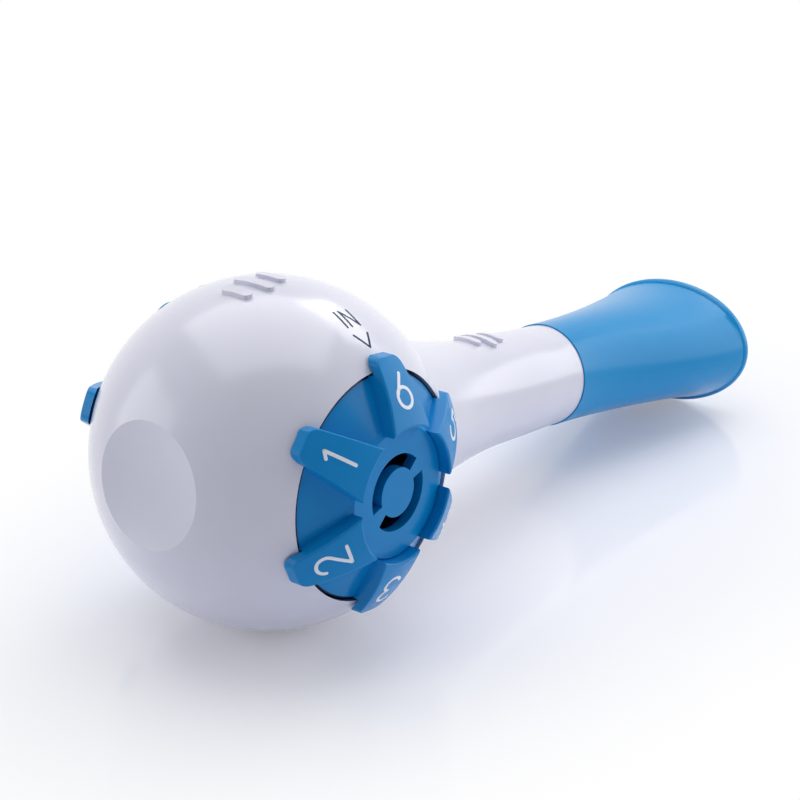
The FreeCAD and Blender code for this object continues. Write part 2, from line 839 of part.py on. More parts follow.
def round_lug_tops(body, base):
    """Round the crisp edges of the lug tops, which all lie on one sphere."""
    names = []
    for number, edge in enumerate(body.Shape.Edges, 1):
        if all(abs(vertex.Point.Length - lug_top_radius.number) < CLOSE for vertex in edge.Vertexes):
            names.append(f"Edge{number}")
    rounding = body.newObject("PartDesign::Fillet", "lug_rounding")
    rounding.Base = (base, names)
    bind(rounding, Radius=of_sheet("lug_edge_rounding"))
    return rounding


def make_dial(name, side):
    """Dial cap with numbered lugs, a vented hub, a skirt in the well and a stem through the seat plate."""
    body = new_body(f"{name}_dial")
    wall = of_sheet("dial_wall")
    chamfer = of_sheet("hub_chamfer")
    rim_height = well_mouth - of_sheet("dial_rim_sink")
    profile = side_profile(
        body,
        "dial_profile",
        side,
        [
            (0, stem_end),
            (stem_radius, stem_end),
            (stem_radius, disc_bottom),
            (dial_radius, disc_bottom),
            (dial_radius, rim_height),
            (hub_radius + chamfer, hub_face - chamfer),
            (hub_radius, hub_face),
            (0, hub_face),
        ],
    )
    spin(body, "Revolution", profile, "dial_solid")

    lug_foot = disc_top + of_sheet("lug_root_rise")
    lug_sketch = face_sketch(body, "lug_outline", side, lug_foot)
    draw_lug(lug_sketch)
    lug = outward_pad(body, lug_sketch, "lug", lug_top_radius + OVERSHOOT - lug_foot, side)
    pattern = repeat_round(body, lug, lug_sketch, "lugs", POSITIONS[name])
    inner = lug_inner_radius - OVERSHOOT
    outer = lug_tip_radius + OVERSHOOT
    above = lug_top_radius + OVERSHOOT * 2
    tops = sphere_band(body, "above_lug_tops", side, lug_top_radius, inner, outer, above)
    spin(body, "Groove", tops, "lug_tops")
    under = ball_radius + of_sheet("lug_tip_clearance")
    tips = sphere_band(body, "under_lug_tips", side, under, dial_radius, outer, disc_bottom)
    spin(body, "Groove", tips, "lug_tips")

    inside_edge = skirt_inside - of_sheet("dial_inner_step")
    room_bottom = disc_bottom - OVERSHOOT
    room = side_profile(
        body,
        "room_profile",
        side,
        [
            (stem_radius, hub_face - wall),
            (hub_radius - of_sheet("hub_inner_inset"), hub_face - wall),
            (inside_edge, rim_height - of_sheet("dial_rim_wall")),
            (inside_edge, disc_top + turning_clearance),
            (skirt_inside, disc_top + turning_clearance),
            (skirt_inside, room_bottom),
            (stem_radius, room_bottom),
        ],
    )
    spin(body, "Groove", room, "dial_room")

    vent_inner = of_sheet("vent_inner_radius")
    vent_outer = of_sheet("vent_outer_radius")
    half = of_sheet("vent_half_angle")
    vent_sketch = face_sketch(body, "vent_outline", side, hub_face + OVERSHOOT)
    bind(vent_sketch, AttachmentOffset__Rotation__Angle=of_sheet("vent_turn"))
    vent_corners = [
        (vent_outer * sine(half), vent_outer * cosine(half)),
        (-(vent_outer * sine(half)), vent_outer * cosine(half)),
        (-(vent_inner * sine(half)), vent_inner * cosine(half)),
        (vent_inner * sine(half), vent_inner * cosine(half)),
    ]
    draw_loop(vent_sketch, vent_corners, {0: vent_outer, 2: vent_inner})
    vent = inward_pocket(body, vent_sketch, "vent", wall + OVERSHOOT * 2, side)
    repeat_round(body, vent, vent_sketch, "vents", of_sheet("vent_count"))

    screw_sketch = face_sketch(body, "screw_hole_outline", side, stem_end - OVERSHOOT)
    draw_circle(screw_sketch, 0, 0, screw_radius + turning_clearance)
    screw_hole_depth = of_sheet("screw_length") + of_sheet("screw_hole_room")
    outward_pocket(body, screw_sketch, "screw_hole", screw_hole_depth + OVERSHOOT, side)

    notch_sketch = face_sketch(body, "key_notch_outline", side, disc_bottom - OVERSHOOT)
    notch_half = key_width / 2 + turning_clearance
    notch_start = skirt_inside - OVERSHOOT
    notch_reach = skirt_inside + key_depth + seat_clearance
    notch_corners = [
        (notch_half, -notch_start),
        (-notch_half, -notch_start),
        (-notch_half, -notch_reach),
        (notch_half, -notch_reach),
    ]
    draw_loop(notch_sketch, notch_corners)
    notch_height = disc_top - disc_bottom + OVERSHOOT + turning_clearance
    notch = outward_pocket(body, notch_sketch, "key_notch", notch_height, side)
    document.recompute()
    round_lug_tops(body, notch)
    return name_sub_part(body, f"{name}_dial")


# The detent notches are narrower than the ball that drops into them
NOTCH_SHARE = 0.8


def dial_angles(name, side):
    """Each number with the angle of its place, +X across and +Z up; the highest is at the top."""
    count = int(POSITIONS[name].number)
    return [(number, 90 - side * 360 / count * number) for number in range(1, count + 1)]


def round_place(radius, angle):
    """The two coordinates of a place on a circle, with a plain nought on the upright line."""
    across = radius * math.cos(math.radians(angle))
    up = radius * math.sin(math.radians(angle))
    return (0 if abs(across.number) < CLOSE else across), up


def make_metering_disc(name, side):
    """Disc keyed into the dial: one graded air hole for each number, and the detent track beneath."""
    body = new_body(f"{name}_metering_disc")
    disc_radius = skirt_inside - seat_clearance
    bore = stem_radius + turning_clearance
    outline = face_sketch(body, "disc_outline", side, disc_bottom)
    draw_circle(outline, 0, 0, disc_radius)
    draw_circle(outline, 0, 0, bore)
    outward_pad(body, outline, "disc", disc_top - disc_bottom, side)

    key_sketch = face_sketch(body, "key_outline", side, disc_bottom)
    key_start = disc_radius - OVERSHOOT
    key_corners = [
        (key_width / 2, -key_start),
        (-(key_width / 2), -key_start),
        (-(key_width / 2), -(skirt_inside + key_depth)),
        (key_width / 2, -(skirt_inside + key_depth)),
    ]
    draw_loop(key_sketch, key_corners)
    outward_pad(body, key_sketch, "key", disc_top - disc_bottom, side)

    largest = of_sheet("largest_orifice")
    smallest = of_sheet("smallest_orifice")
    places = dial_angles(name, side)
    holes = face_sketch(body, "orifice_outline", side, disc_bottom)
    for number, angle in places:
        share = (number - 1) / max(len(places) - 1, 1)
        draw_circle(holes, *round_place(window_place, angle), largest - (largest - smallest) * share)
    outward_pocket(body, holes, "orifices", disc_top - disc_bottom + OVERSHOOT, side)

    track_sketch = new_sketch(body, "track_section", "XY_Plane")
    track_radius = detent_ball_radius + of_sheet("detent_track_clearance")
    draw_circle(track_sketch, detent_place, detent_centre * side, track_radius)
    spin(body, "Groove", track_sketch, "detent_track")
    notches = face_sketch(body, "notch_outline", side, disc_bottom)
    for _, angle in places:
        draw_circle(notches, *round_place(detent_place, angle + 180), detent_ball_radius * NOTCH_SHARE)
    depth = detent_centre + track_radius + of_sheet("detent_notch_depth") - disc_bottom
    outward_pocket(body, notches, "detent_notches", depth, side)
    return name_sub_part(body, f"{name}_metering_disc")


detent_ball_radius = of_sheet("detent_ball_radius")
detent_centre = plate_top - of_sheet("detent_ball_sink")
spring_top = detent_centre - detent_ball_radius
spring_bottom = spring_top - of_sheet("spring_length")
detent_bore_radius = detent_ball_radius + seat_clearance
detent_boss_radius = detent_bore_radius + of_sheet("detent_boss_wall")
detent_place = ledge_bore_radius - detent_boss_radius - of_sheet("detent_edge_gap")


def make_seat_plate(name, side):
    """Plate on the well's ledge, with air window, gasket seat, axle bore and a well for the detent."""
    body = new_body(f"{name}_seat_plate")
    thickness = of_sheet("plate_thickness")
    outline = face_sketch(body, "plate_outline", side, ledge_height)
    draw_circle(outline, 0, 0, well_radius - seat_clearance)
    outward_pad(body, outline, "plate", thickness, side)
    boss = face_sketch(body, "detent_boss_outline", side, ledge_height)
    draw_circle(boss, 0, -detent_place, detent_boss_radius)
    boss_end = spring_bottom - of_sheet("detent_boss_wall")
    inward_pad(body, boss, "detent_boss", ledge_height - boss_end, side)

    through = face_sketch(body, "through_outline", side, plate_top + OVERSHOOT)
    draw_circle(through, 0, 0, stem_radius + turning_clearance)
    draw_circle(through, 0, window_place, of_sheet("window_radius"))
    inward_pocket(body, through, "bore_and_window", thickness + OVERSHOOT * 2, side)
    seat = face_sketch(body, "gasket_seat_outline", side, plate_top + OVERSHOOT)
    draw_circle(seat, 0, window_place, gasket_outer)
    inward_pocket(body, seat, "gasket_seat", of_sheet("gasket_seat_depth") + OVERSHOOT, side)
    well = face_sketch(body, "detent_well_outline", side, plate_top + OVERSHOOT)
    draw_circle(well, 0, -detent_place, detent_bore_radius)
    inward_pocket(body, well, "detent_well", plate_top + OVERSHOOT - spring_bottom, side)
    return name_sub_part(body, f"{name}_seat_plate")


gasket_inner = of_sheet("window_radius") + seat_clearance
gasket_outer = gasket_inner + of_sheet("gasket_width")


def make_window_gasket(name, side):
    """Ring round the air window, standing just clear of the turning disc."""
    body = new_body(f"{name}_window_gasket")
    bottom = plate_top - of_sheet("gasket_seat_depth")
    outline = face_sketch(body, "gasket_outline", side, bottom)
    draw_circle(outline, 0, window_place, gasket_outer - turning_clearance)
    draw_circle(outline, 0, window_place, gasket_inner)
    outward_pad(body, outline, "gasket", disc_bottom - turning_clearance - bottom, side)
    return name_sub_part(body, f"{name}_window_gasket")


def make_detent_ball(name, side):
    body = new_body(f"{name}_detent_ball")
    ball = body.newObject("PartDesign::AdditiveSphere", "ball")
    bind(
        ball,
        Radius=detent_ball_radius,
        Placement__Base__y=detent_centre * side,
        Placement__Base__z=-detent_place,
    )
    return name_sub_part(body, f"{name}_detent_ball")


def make_detent_spring(name, side):
    """Open coil that holds the detent ball up."""
    body = new_body(f"{name}_detent_spring")
    wire = of_sheet("spring_wire_radius")
    length = of_sheet("spring_length") - wire * 2
    coil_radius = detent_ball_radius - wire - seat_clearance
    section = new_sketch(body, "wire_section", "XY_Plane", -detent_place)
    draw_circle(section, coil_radius, (spring_bottom + wire) * side, wire)
    coil = body.newObject("PartDesign::AdditiveHelix", "coil")
    coil.Profile = section
    coil.ReferenceAxis = (section, ["V_Axis"])
    coil.Mode = 2
    coil.Reversed = side < 0
    bind(coil, Height=length, Turns=of_sheet("spring_turns"))
    return name_sub_part(body, f"{name}_detent_spring")


def make_thrust_washer(name, side):
    body = new_body(f"{name}_thrust_washer")
    outline = face_sketch(body, "washer_outline", side, stem_end + turning_clearance)
    draw_circle(outline, 0, 0, of_sheet("washer_radius"))
    draw_circle(outline, 0, 0, stem_radius + turning_clearance)
    outward_pad(body, outline, "washer", washer_thickness, side)
    return name_sub_part(body, f"{name}_thrust_washer")


# The slot's length as a share of the screw head's
SLOT_SHARE = 0.6


def make_axle_screw(name, side):
    """Cross-slotted screw in the dial's stem; its head carries the dial against the washer."""
    body = new_body(f"{name}_axle_screw")
    head_radius = of_sheet("screw_head_radius")
    head_end = stem_end - of_sheet("screw_head_height")
    shank_end = stem_end + of_sheet("screw_length")
    head_chamfer = of_sheet("screw_head_chamfer")
    tip_chamfer = of_sheet("screw_tip_chamfer")
    corners = [
        (0, head_end),
        (head_radius - head_chamfer, head_end),
        (head_radius, head_end + head_chamfer),
        (head_radius, stem_end),
        (screw_radius, stem_end),
        (screw_radius, shank_end - tip_chamfer),
        (screw_radius - tip_chamfer, shank_end),
        (0, shank_end),
    ]
    spin(body, "Revolution", side_profile(body, "screw_profile", side, corners), "screw")
    slot = face_sketch(body, "slot_outline", side, head_end - OVERSHOOT)
    reach = head_radius * SLOT_SHARE
    half = of_sheet("screw_slot_half_width")
    draw_loop(slot, [(reach, half), (-reach, half), (-reach, -half), (reach, -half)])
    first = outward_pocket(body, slot, "slot", of_sheet("screw_slot_depth") + OVERSHOOT, side)
    repeat_round(body, first, slot, "cross_slot", of_sheet("screw_slot_arms"))
    return name_sub_part(body, f"{name}_axle_screw")


# One-way valves, each hung behind its seat plate

cage_half_width = of_sheet("cage_half_width")
cage_wall = of_sheet("cage_wall")
cage_web = of_sheet("cage_web")
cage_end = ledge_height - of_sheet("cage_depth")
flap_radius = of_sheet("flap_radius")
flap_thickness = of_sheet("flap_thickness")
knuckle_radius = of_sheet("flap_knuckle_radius")
pin_radius = of_sheet("flap_pin_radius")
hinge_place = window_place + cage_half_width - cage_wall - knuckle_radius - of_sheet("flap_knuckle_gap")


def flap_seat(name):
    """The height of the flap's sealing face: under the web for inhale, above it for exhale."""
    if name == "inhale":
        return ledge_height - cage_web - turning_clearance
    return cage_end + cage_web + turning_clearance


def pin_height(name):
    """The knuckle lies level with the flap's sealing face, on the side away from the web."""
    reach = knuckle_radius + turning_clearance
    return flap_seat(name) - reach if name == "inhale" else flap_seat(name) + reach


def square(sketch, middle, half):
    """A square about a place on the upright line, half its side given."""
    top = middle + half
    bottom = middle - half
    draw_loop(sketch, [(half, top), (-half, top), (-half, bottom), (half, bottom)])


def side_sketch(body, name):
    """A sketch seen along the neck: across is +Y, up is +Z."""
    return new_sketch(body, name, "YZ_Plane")


def make_valve_cage(name, side):
    """Square cage open at one end, with a ported web at the other that the flap closes."""
    body = new_body(f"{name}_valve_cage")
    inhale = name == "inhale"
    outline = face_sketch(body, "cage_outline", side, cage_end)
    square(outline, window_place, cage_half_width)
    outward_pad(body, outline, "cage", ledge_height - cage_end, side)
    room_height = cage_end - OVERSHOOT if inhale else ledge_height + OVERSHOOT
    room = face_sketch(body, "room_outline", side, room_height)
    square(room, window_place, cage_half_width - cage_wall)
    depth = ledge_height - cage_end - cage_web + OVERSHOOT
    if inhale:
        outward_pocket(body, room, "room", depth, side)
    else:
        inward_pocket(body, room, "room", depth, side)
    port = face_sketch(body, "port_outline", side, cage_end - OVERSHOOT)
    draw_circle(port, 0, window_place, of_sheet("port_radius"))
    outward_pocket(body, port, "port", ledge_height - cage_end + OVERSHOOT * 2, side)
    pin_hole = side_sketch(body, "pin_hole_outline")
    draw_circle(pin_hole, pin_height(name) * side, hinge_place, pin_radius)
    hole = cut_pocket(body, pin_hole, "pin_hole", (cage_half_width + OVERSHOOT) * 2)
    hole.Midplane = True
    return name_sub_part(body, f"{name}_valve_cage")


def make_valve_flap(name, side):
    """Round flap with one straight edge at its hinge knuckle."""
    body = new_body(f"{name}_valve_flap")
    face = flap_seat(name)
    low = face - flap_thickness if name == "inhale" else face
    outline = face_sketch(body, "flap_outline", side, low)
    draw_circle(outline, 0, window_place, flap_radius)
    outward_pad(body, outline, "flap", flap_thickness, side)
    trim = face_sketch(body, "flap_trim_outline", side, low - OVERSHOOT)
    far = window_place + flap_radius + OVERSHOOT
    corners = [
        (flap_radius, far),
        (-flap_radius, far),
        (-flap_radius, hinge_place),
        (flap_radius, hinge_place),
    ]
    draw_loop(trim, corners)
    outward_pocket(body, trim, "flap_trim", flap_thickness + OVERSHOOT * 2, side)
    knuckle_sketch = side_sketch(body, "knuckle_outline")
    draw_circle(knuckle_sketch, pin_height(name) * side, hinge_place, knuckle_radius)
    knuckle = raise_pad(body, knuckle_sketch, "knuckle", of_sheet("flap_knuckle_length"))
    knuckle.Midplane = True
    bore_sketch = side_sketch(body, "knuckle_bore_outline")
    draw_circle(bore_sketch, pin_height(name) * side, hinge_place, pin_radius + turning_clearance)
    bore = cut_pocket(body, bore_sketch, "knuckle_bore", of_sheet("flap_knuckle_length") + OVERSHOOT * 2)
    bore.Midplane = True
    return name_sub_part(body, f"{name}_valve_flap")


def make_flap_pin(name, side):
    body = new_body(f"{name}_flap_pin")
    outline = side_sketch(body, "pin_outline")
    draw_circle(outline, pin_height(name) * side, hinge_place, pin_radius)
    pin = raise_pad(body, outline, "pin", cage_half_width * 2)
    pin.Midplane = True
    return name_sub_part(body, f"{name}_flap_pin")


# The whole trainer

make_ball_shell()
make_neck_tube()
make_seal_ring("neck_seal", neck_seal_place, plug_radius)
make_seal_ring("mouthpiece_seal", mouthpiece_seal_place, spigot_radius)
make_mouthpiece()
for name, side in SIDES.items():
    make_dial(name, side)
    make_metering_disc(name, side)
    make_seat_plate(name, side)
    make_window_gasket(name, side)
    make_detent_ball(name, side)
    make_detent_spring(name, side)
    make_thrust_washer(name, side)
    make_axle_screw(name, side)
    make_valve_cage(name, side)
    make_valve_flap(name, side)
    make_flap_pin(name, side)

document.recompute()
for thing in document.Objects:
    if "Invalid" in thing.State or "Error" in thing.State:
        raise RuntimeError(f"{thing.Label} failed to recompute: {thing.State}")
for thing in sub_parts:
    if thing.Shape.isNull() or not thing.Shape.isValid():
        raise RuntimeError(f"{thing.Label} has no valid shape")

os.makedirs("parts", exist_ok=True)
for thing in sub_parts:
    thing.Shape.exportStep(f"parts/{thing.Label}.step")

print("sub-parts:", len(sub_parts))
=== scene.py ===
import json
import math

import bmesh
import bpy
from bpy.props import FloatProperty, FloatVectorProperty, IntProperty, PointerProperty
from mathutils import Euler, Matrix, Vector


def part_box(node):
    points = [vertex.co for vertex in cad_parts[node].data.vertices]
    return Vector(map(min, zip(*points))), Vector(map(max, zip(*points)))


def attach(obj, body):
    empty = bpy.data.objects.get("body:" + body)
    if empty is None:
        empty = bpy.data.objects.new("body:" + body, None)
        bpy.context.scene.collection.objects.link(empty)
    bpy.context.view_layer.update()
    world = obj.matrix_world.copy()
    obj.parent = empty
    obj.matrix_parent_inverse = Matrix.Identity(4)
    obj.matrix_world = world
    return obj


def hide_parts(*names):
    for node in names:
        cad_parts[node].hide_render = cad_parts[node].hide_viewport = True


bl_info = {
    "name": "Breathing trainer dressing",
    "version": (1, 0, 0),
    "blender": (4, 5, 0),
    "location": "View3D > Sidebar > Trainer",
    "description": "Gives the packed breathing trainer its finishes, finer pieces, numbers, print and studio",
    "category": "Object",
}

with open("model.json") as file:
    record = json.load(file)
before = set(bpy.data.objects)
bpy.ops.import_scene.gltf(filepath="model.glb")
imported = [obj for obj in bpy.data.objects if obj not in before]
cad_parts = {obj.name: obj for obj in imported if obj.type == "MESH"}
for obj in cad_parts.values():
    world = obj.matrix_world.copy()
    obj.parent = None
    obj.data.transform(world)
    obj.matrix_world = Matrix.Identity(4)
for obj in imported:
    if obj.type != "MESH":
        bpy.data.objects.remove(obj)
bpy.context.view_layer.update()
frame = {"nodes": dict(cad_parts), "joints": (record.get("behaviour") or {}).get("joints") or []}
MM = 0.001


# Where the trainer lies: its own axes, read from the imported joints

def joint_named(name):
    return next(joint for joint in frame["joints"] if joint["name"] == name)


NECK_AXIS = Vector(joint_named("mouthpiece_pull")["axis"]).normalized()
SIDE_AXIS = Vector((0, 1, 0))
RIB_AXIS = NECK_AXIS.cross(SIDE_AXIS).normalized()
DIAL_POINT = Vector(joint_named("inhale_dial_turn")["pos_m"])
BALL_CENTRE = Vector((DIAL_POINT.x, 0, DIAL_POINT.z))

# Which way each dial faces, along the side axis
SIDES = {"inhale": -1, "exhale": 1}


def placed(x, y, z):
    """A point given from the ball's centre in mm, along the neck, to the exhale side and up to the ribs."""
    return BALL_CENTRE + (NECK_AXIS * x + SIDE_AXIS * y + RIB_AXIS * z) * MM


def turned(x, y, z):
    """A direction given in the trainer's own axes."""
    return (NECK_AXIS * x + SIDE_AXIS * y + RIB_AXIS * z).normalized()


# Sizes and colours that a user would change

class FinishSettings(bpy.types.PropertyGroup):
    shell_colour: FloatVectorProperty(
        name="Shell", description="White of the ball and neck", subtype="COLOR", size=3, min=0, max=1,
        default=(0.755, 0.76, 0.87))
    shell_roughness: FloatProperty(
        name="Shell roughness", description="How dull the white plastic is", subtype="FACTOR", min=0, max=1,
        default=0.24)
    dial_colour: FloatVectorProperty(
        name="Dials", description="Blue of the two dials", subtype="COLOR", size=3, min=0, max=1,
        default=(0.001, 0.255, 0.625))
    mouthpiece_colour: FloatVectorProperty(
        name="Mouthpiece", description="Blue of the pull-off mouthpiece", subtype="COLOR", size=3, min=0,
        max=1, default=(0.001, 0.30, 0.67))
    blue_roughness: FloatProperty(
        name="Blue roughness", description="How dull the blue plastic is", subtype="FACTOR", min=0, max=1,
        default=0.235)
    number_colour: FloatVectorProperty(
        name="Numbers", description="White paint of the dial numbers", subtype="COLOR", size=3, min=0, max=1,
        default=(0.90, 0.95, 1.0))
    print_colour: FloatVectorProperty(
        name="Print", description="Dark teal of the print on the ball", subtype="COLOR", size=3, min=0, max=1,
        default=(0.0, 0.03, 0.075))
    # Painted shadow: a dark band on each dial's rim, in the gap between the dial and its well
    skirt_colour: FloatVectorProperty(
        name="Gap shadow", description="Painted shadow on the dials' rims, down in the gap to their wells", subtype="COLOR", size=3,
        min=0, max=1, default=(0.003, 0.02, 0.06))
    skirt_radius: FloatProperty(
        name="Gap shadow radius", description="Distance from the dial's axis to the painted gap shadow", unit="LENGTH",
        default=20.1 * MM)
    skirt_width: FloatProperty(
        name="Gap shadow width", description="How far from the gap shadow's radius it is still painted dark", unit="LENGTH",
        default=0.2 * MM)
    skirt_height: FloatProperty(
        name="Gap shadow height", description="Distance from the ball's middle plane where the painted gap shadow ends",
        unit="LENGTH", default=24.2 * MM)


class MouthpieceSettings(bpy.types.PropertyGroup):
    start: FloatProperty(
        name="Start", description="Place of the sleeve's open end, from the ball's centre along the neck",
        unit="LENGTH", default=88.1 * MM)
    end: FloatProperty(
        name="End", description="Place of the lip's face, from the ball's centre along the neck",
        unit="LENGTH", default=145.4 * MM)
    start_radius: FloatProperty(
        name="Start radius", description="Radius of the sleeve where it meets the neck", unit="LENGTH",
        default=11.25 * MM)
    half_height: FloatProperty(
        name="Half height", description="Half the sleeve's height behind the lip", unit="LENGTH",
        default=12.5 * MM)
    side_spread: FloatProperty(
        name="Side spread", description="How much wider than high the sleeve grows, on each side",
        unit="LENGTH", default=7.0 * MM)
    lip_half_height: FloatProperty(
        name="Lip half height", description="Half the height of the rolled lip", unit="LENGTH",
        default=14.4 * MM)
    lip_spread: FloatProperty(
        name="Lip spread", description="How much wider than high the lip is, on each side", unit="LENGTH",
        default=6.6 * MM)
    lip_thickness: FloatProperty(
        name="Lip thickness", description="Thickness of the rolled lip", unit="LENGTH", default=3.0 * MM)
    lip_rounding: FloatProperty(
        name="Lip rounding", description="Radius of the lip's rolled edges", unit="LENGTH", default=1.3 * MM)
    lip_step: FloatProperty(
        name="Lip step", description="How far the lip stands over the sleeve", unit="LENGTH",
        default=0.8 * MM)
    mouth_half_height: FloatProperty(
        name="Mouth half height", description="Half the height of the mouth opening", unit="LENGTH",
        default=10.6 * MM)
    mouth_spread: FloatProperty(
        name="Mouth spread", description="How much wider than high the mouth opening is, on each side",
        unit="LENGTH", default=7.0 * MM)
    socket_radius: FloatProperty(
        name="Socket radius", description="Radius of the bore that slides on the neck's spigot",
        unit="LENGTH", default=9.65 * MM)
    socket_end: FloatProperty(
        name="Socket end", description="Place of the step at the end of the socket", unit="LENGTH",
        default=107.6 * MM)
    bore_radius: FloatProperty(
        name="Bore radius", description="Radius of the air way behind the socket", unit="LENGTH",
        default=8.2 * MM)
    around: IntProperty(name="Around", description="Faces round the sleeve", default=144)


class SpringSettings(bpy.types.PropertyGroup):
    turns: FloatProperty(name="Turns", description="Turns of a detent spring", default=3.0)
    wire_radius: FloatProperty(
        name="Wire", description="Radius of the spring's wire", unit="LENGTH", default=0.22 * MM)


class NumberSettings(bpy.types.PropertyGroup):
    height: FloatProperty(
        name="Height", description="Height of a dial number", unit="LENGTH", default=6.1 * MM)
    stroke: FloatProperty(
        name="Stroke", description="Width of a number's stroke", unit="LENGTH", default=0.63 * MM)
    angle: FloatProperty(
        name="Place", description="Angle between the dial's axis and a number's middle", subtype="ANGLE",
        default=math.radians(31.7))
    lug_radius: FloatProperty(
        name="Lug top", description="Radius of the ball that the lug tops lie on", unit="LENGTH",
        default=34.0 * MM)
    thickness: FloatProperty(
        name="Paint", description="How proud the paint stands", unit="LENGTH", default=0.04 * MM)
    inhale_count: IntProperty(name="Inhale steps", description="Lugs on the inhale dial", default=6)
    exhale_count: IntProperty(name="Exhale steps", description="Lugs on the exhale dial", default=5)


class PrintSettings(bpy.types.PropertyGroup):
    height: FloatProperty(
        name="Height", description="Height of the letters on the ball", unit="LENGTH", default=3.85 * MM)
    stroke: FloatProperty(
        name="Stroke", description="Width of a letter's stroke", unit="LENGTH", default=0.42 * MM)
    angle: FloatProperty(
        name="Letters", description="Angle between the dial's axis and the letters' middle", subtype="ANGLE",
        default=math.radians(60.0))
    pointer_angle: FloatProperty(
        name="Pointer", description="Angle between the dial's axis and the pointer's middle", subtype="ANGLE",
        default=math.radians(50.6))
    pointer_height: FloatProperty(
        name="Pointer height", description="Height of the pointer above each dial", unit="LENGTH",
        default=2.9 * MM)
    ball_radius: FloatProperty(
        name="Ball", description="Radius of the ball that is printed on", unit="LENGTH", default=32.0 * MM)
    thickness: FloatProperty(
        name="Ink", description="How proud the ink stands", unit="LENGTH", default=0.02 * MM)


class StageSettings(bpy.types.PropertyGroup):
    floor_colour: FloatVectorProperty(
        name="Floor", description="Pale glossy board", subtype="COLOR", size=3, min=0, max=1,
        default=(0.92, 0.93, 1.0))
    floor_roughness: FloatProperty(
        name="Floor roughness", description="How dull the board is", subtype="FACTOR", min=0, max=1,
        default=0.13)
    floor_size: FloatProperty(name="Floor size", description="Side of the floor", unit="LENGTH", default=8.0)
    paper_share: FloatProperty(
        name="Paper share", description="How much of the board near the trainer looks like white paper",
        subtype="FACTOR", min=0, max=1, default=0.2)
    paper_start: FloatProperty(
        name="Paper start", description="Distance at which the board starts to fade to white paper",
        unit="LENGTH", default=0.035)
    paper_end: FloatProperty(
        name="Paper end", description="Distance from which all is white paper", unit="LENGTH", default=0.095)
    back_power: FloatProperty(
        name="Back lamp", description="Power of the lamp beyond the mouthpiece", unit="POWER", default=1.3)
    top_power: FloatProperty(
        name="Top lamp", description="Power of the lamp overhead", unit="POWER", default=7.7)
    right_power: FloatProperty(
        name="Right lamp", description="Power of the lamp by the inhale dial", unit="POWER", default=2.1)
    left_power: FloatProperty(
        name="Left lamp", description="Power of the lamp by the exhale dial", unit="POWER", default=1.3)
    room_colour: FloatVectorProperty(
        name="Room", description="Tint of the room's light", subtype="COLOR", size=3, min=0, max=1,
        default=(0.86, 0.88, 1.0))
    room_strength: FloatProperty(
        name="Room strength", description="Strength of the room's light", default=0.2)
    lens: FloatProperty(name="Lens", description="Focal length", unit="CAMERA", default=79.225)


# Node trees

def new_group(kind, name, inputs, outputs):
    """An empty node group with its sockets, its input node and its output node."""
    group = bpy.data.node_groups.new(name, kind)
    for label, socket_kind, *default in inputs:
        socket = group.interface.new_socket(label, in_out="INPUT", socket_type=f"NodeSocket{socket_kind}")
        if default:
            socket.default_value = default[0]
    for label, socket_kind in outputs:
        group.interface.new_socket(label, in_out="OUTPUT", socket_type=f"NodeSocket{socket_kind}")
    return group, group.nodes.new("NodeGroupInput"), group.nodes.new("NodeGroupOutput")


def fill(tree, node, values):
    """Link or set the inputs of a node."""
    for socket, value in values.items():
        if isinstance(value, bpy.types.NodeSocket):
            tree.links.new(value, node.inputs[socket])
        else:
            node.inputs[socket].default_value = value


def add_node(tree, kind, values=None, **settings):
    """Add a node with its settings, and link or set its inputs."""
    node = tree.nodes.new(kind)
    for name, setting in settings.items():
        setattr(node, name, setting)
    fill(tree, node, values or {})
    return node


def worked(tree, operation, *values):
    """The result of a Math node."""
    return add_node(tree, "ShaderNodeMath", dict(enumerate(values)), operation=operation).outputs[0]


def noise(tree, place, scale, detail):
    """The values of a noise texture, with its scale in patches per metre."""
    texture = add_node(tree, "ShaderNodeTexNoise", {"Vector": place, "Scale": scale, "Detail": detail})
    return texture.outputs["Fac"]


# Materials

FLOW_PER_METRE = 45.0
RIPPLES_PER_METRE = 160.0
STREAKS_PER_METRE = (900.0, 9000.0, 9000.0)
GRAIN_HEIGHT = 0.1 * MM
RIPPLE_HEIGHT = 0.4 * MM
STREAK_HEIGHT = 0.1 * MM
STREAK_DEPTH = 0.05
STREAK_SPREAD = 0.3
COAT_ROUGHNESS = 0.14


def new_material(name):
    """A material that holds a Principled shader and its output."""
    material = bpy.data.materials.new(name)
    material.use_nodes = True
    tree = material.node_tree
    tree.nodes.clear()
    shader = add_node(tree, "ShaderNodeBsdfPrincipled")
    add_node(tree, "ShaderNodeOutputMaterial", {"Surface": shader.outputs["BSDF"]})
    return material, tree, shader


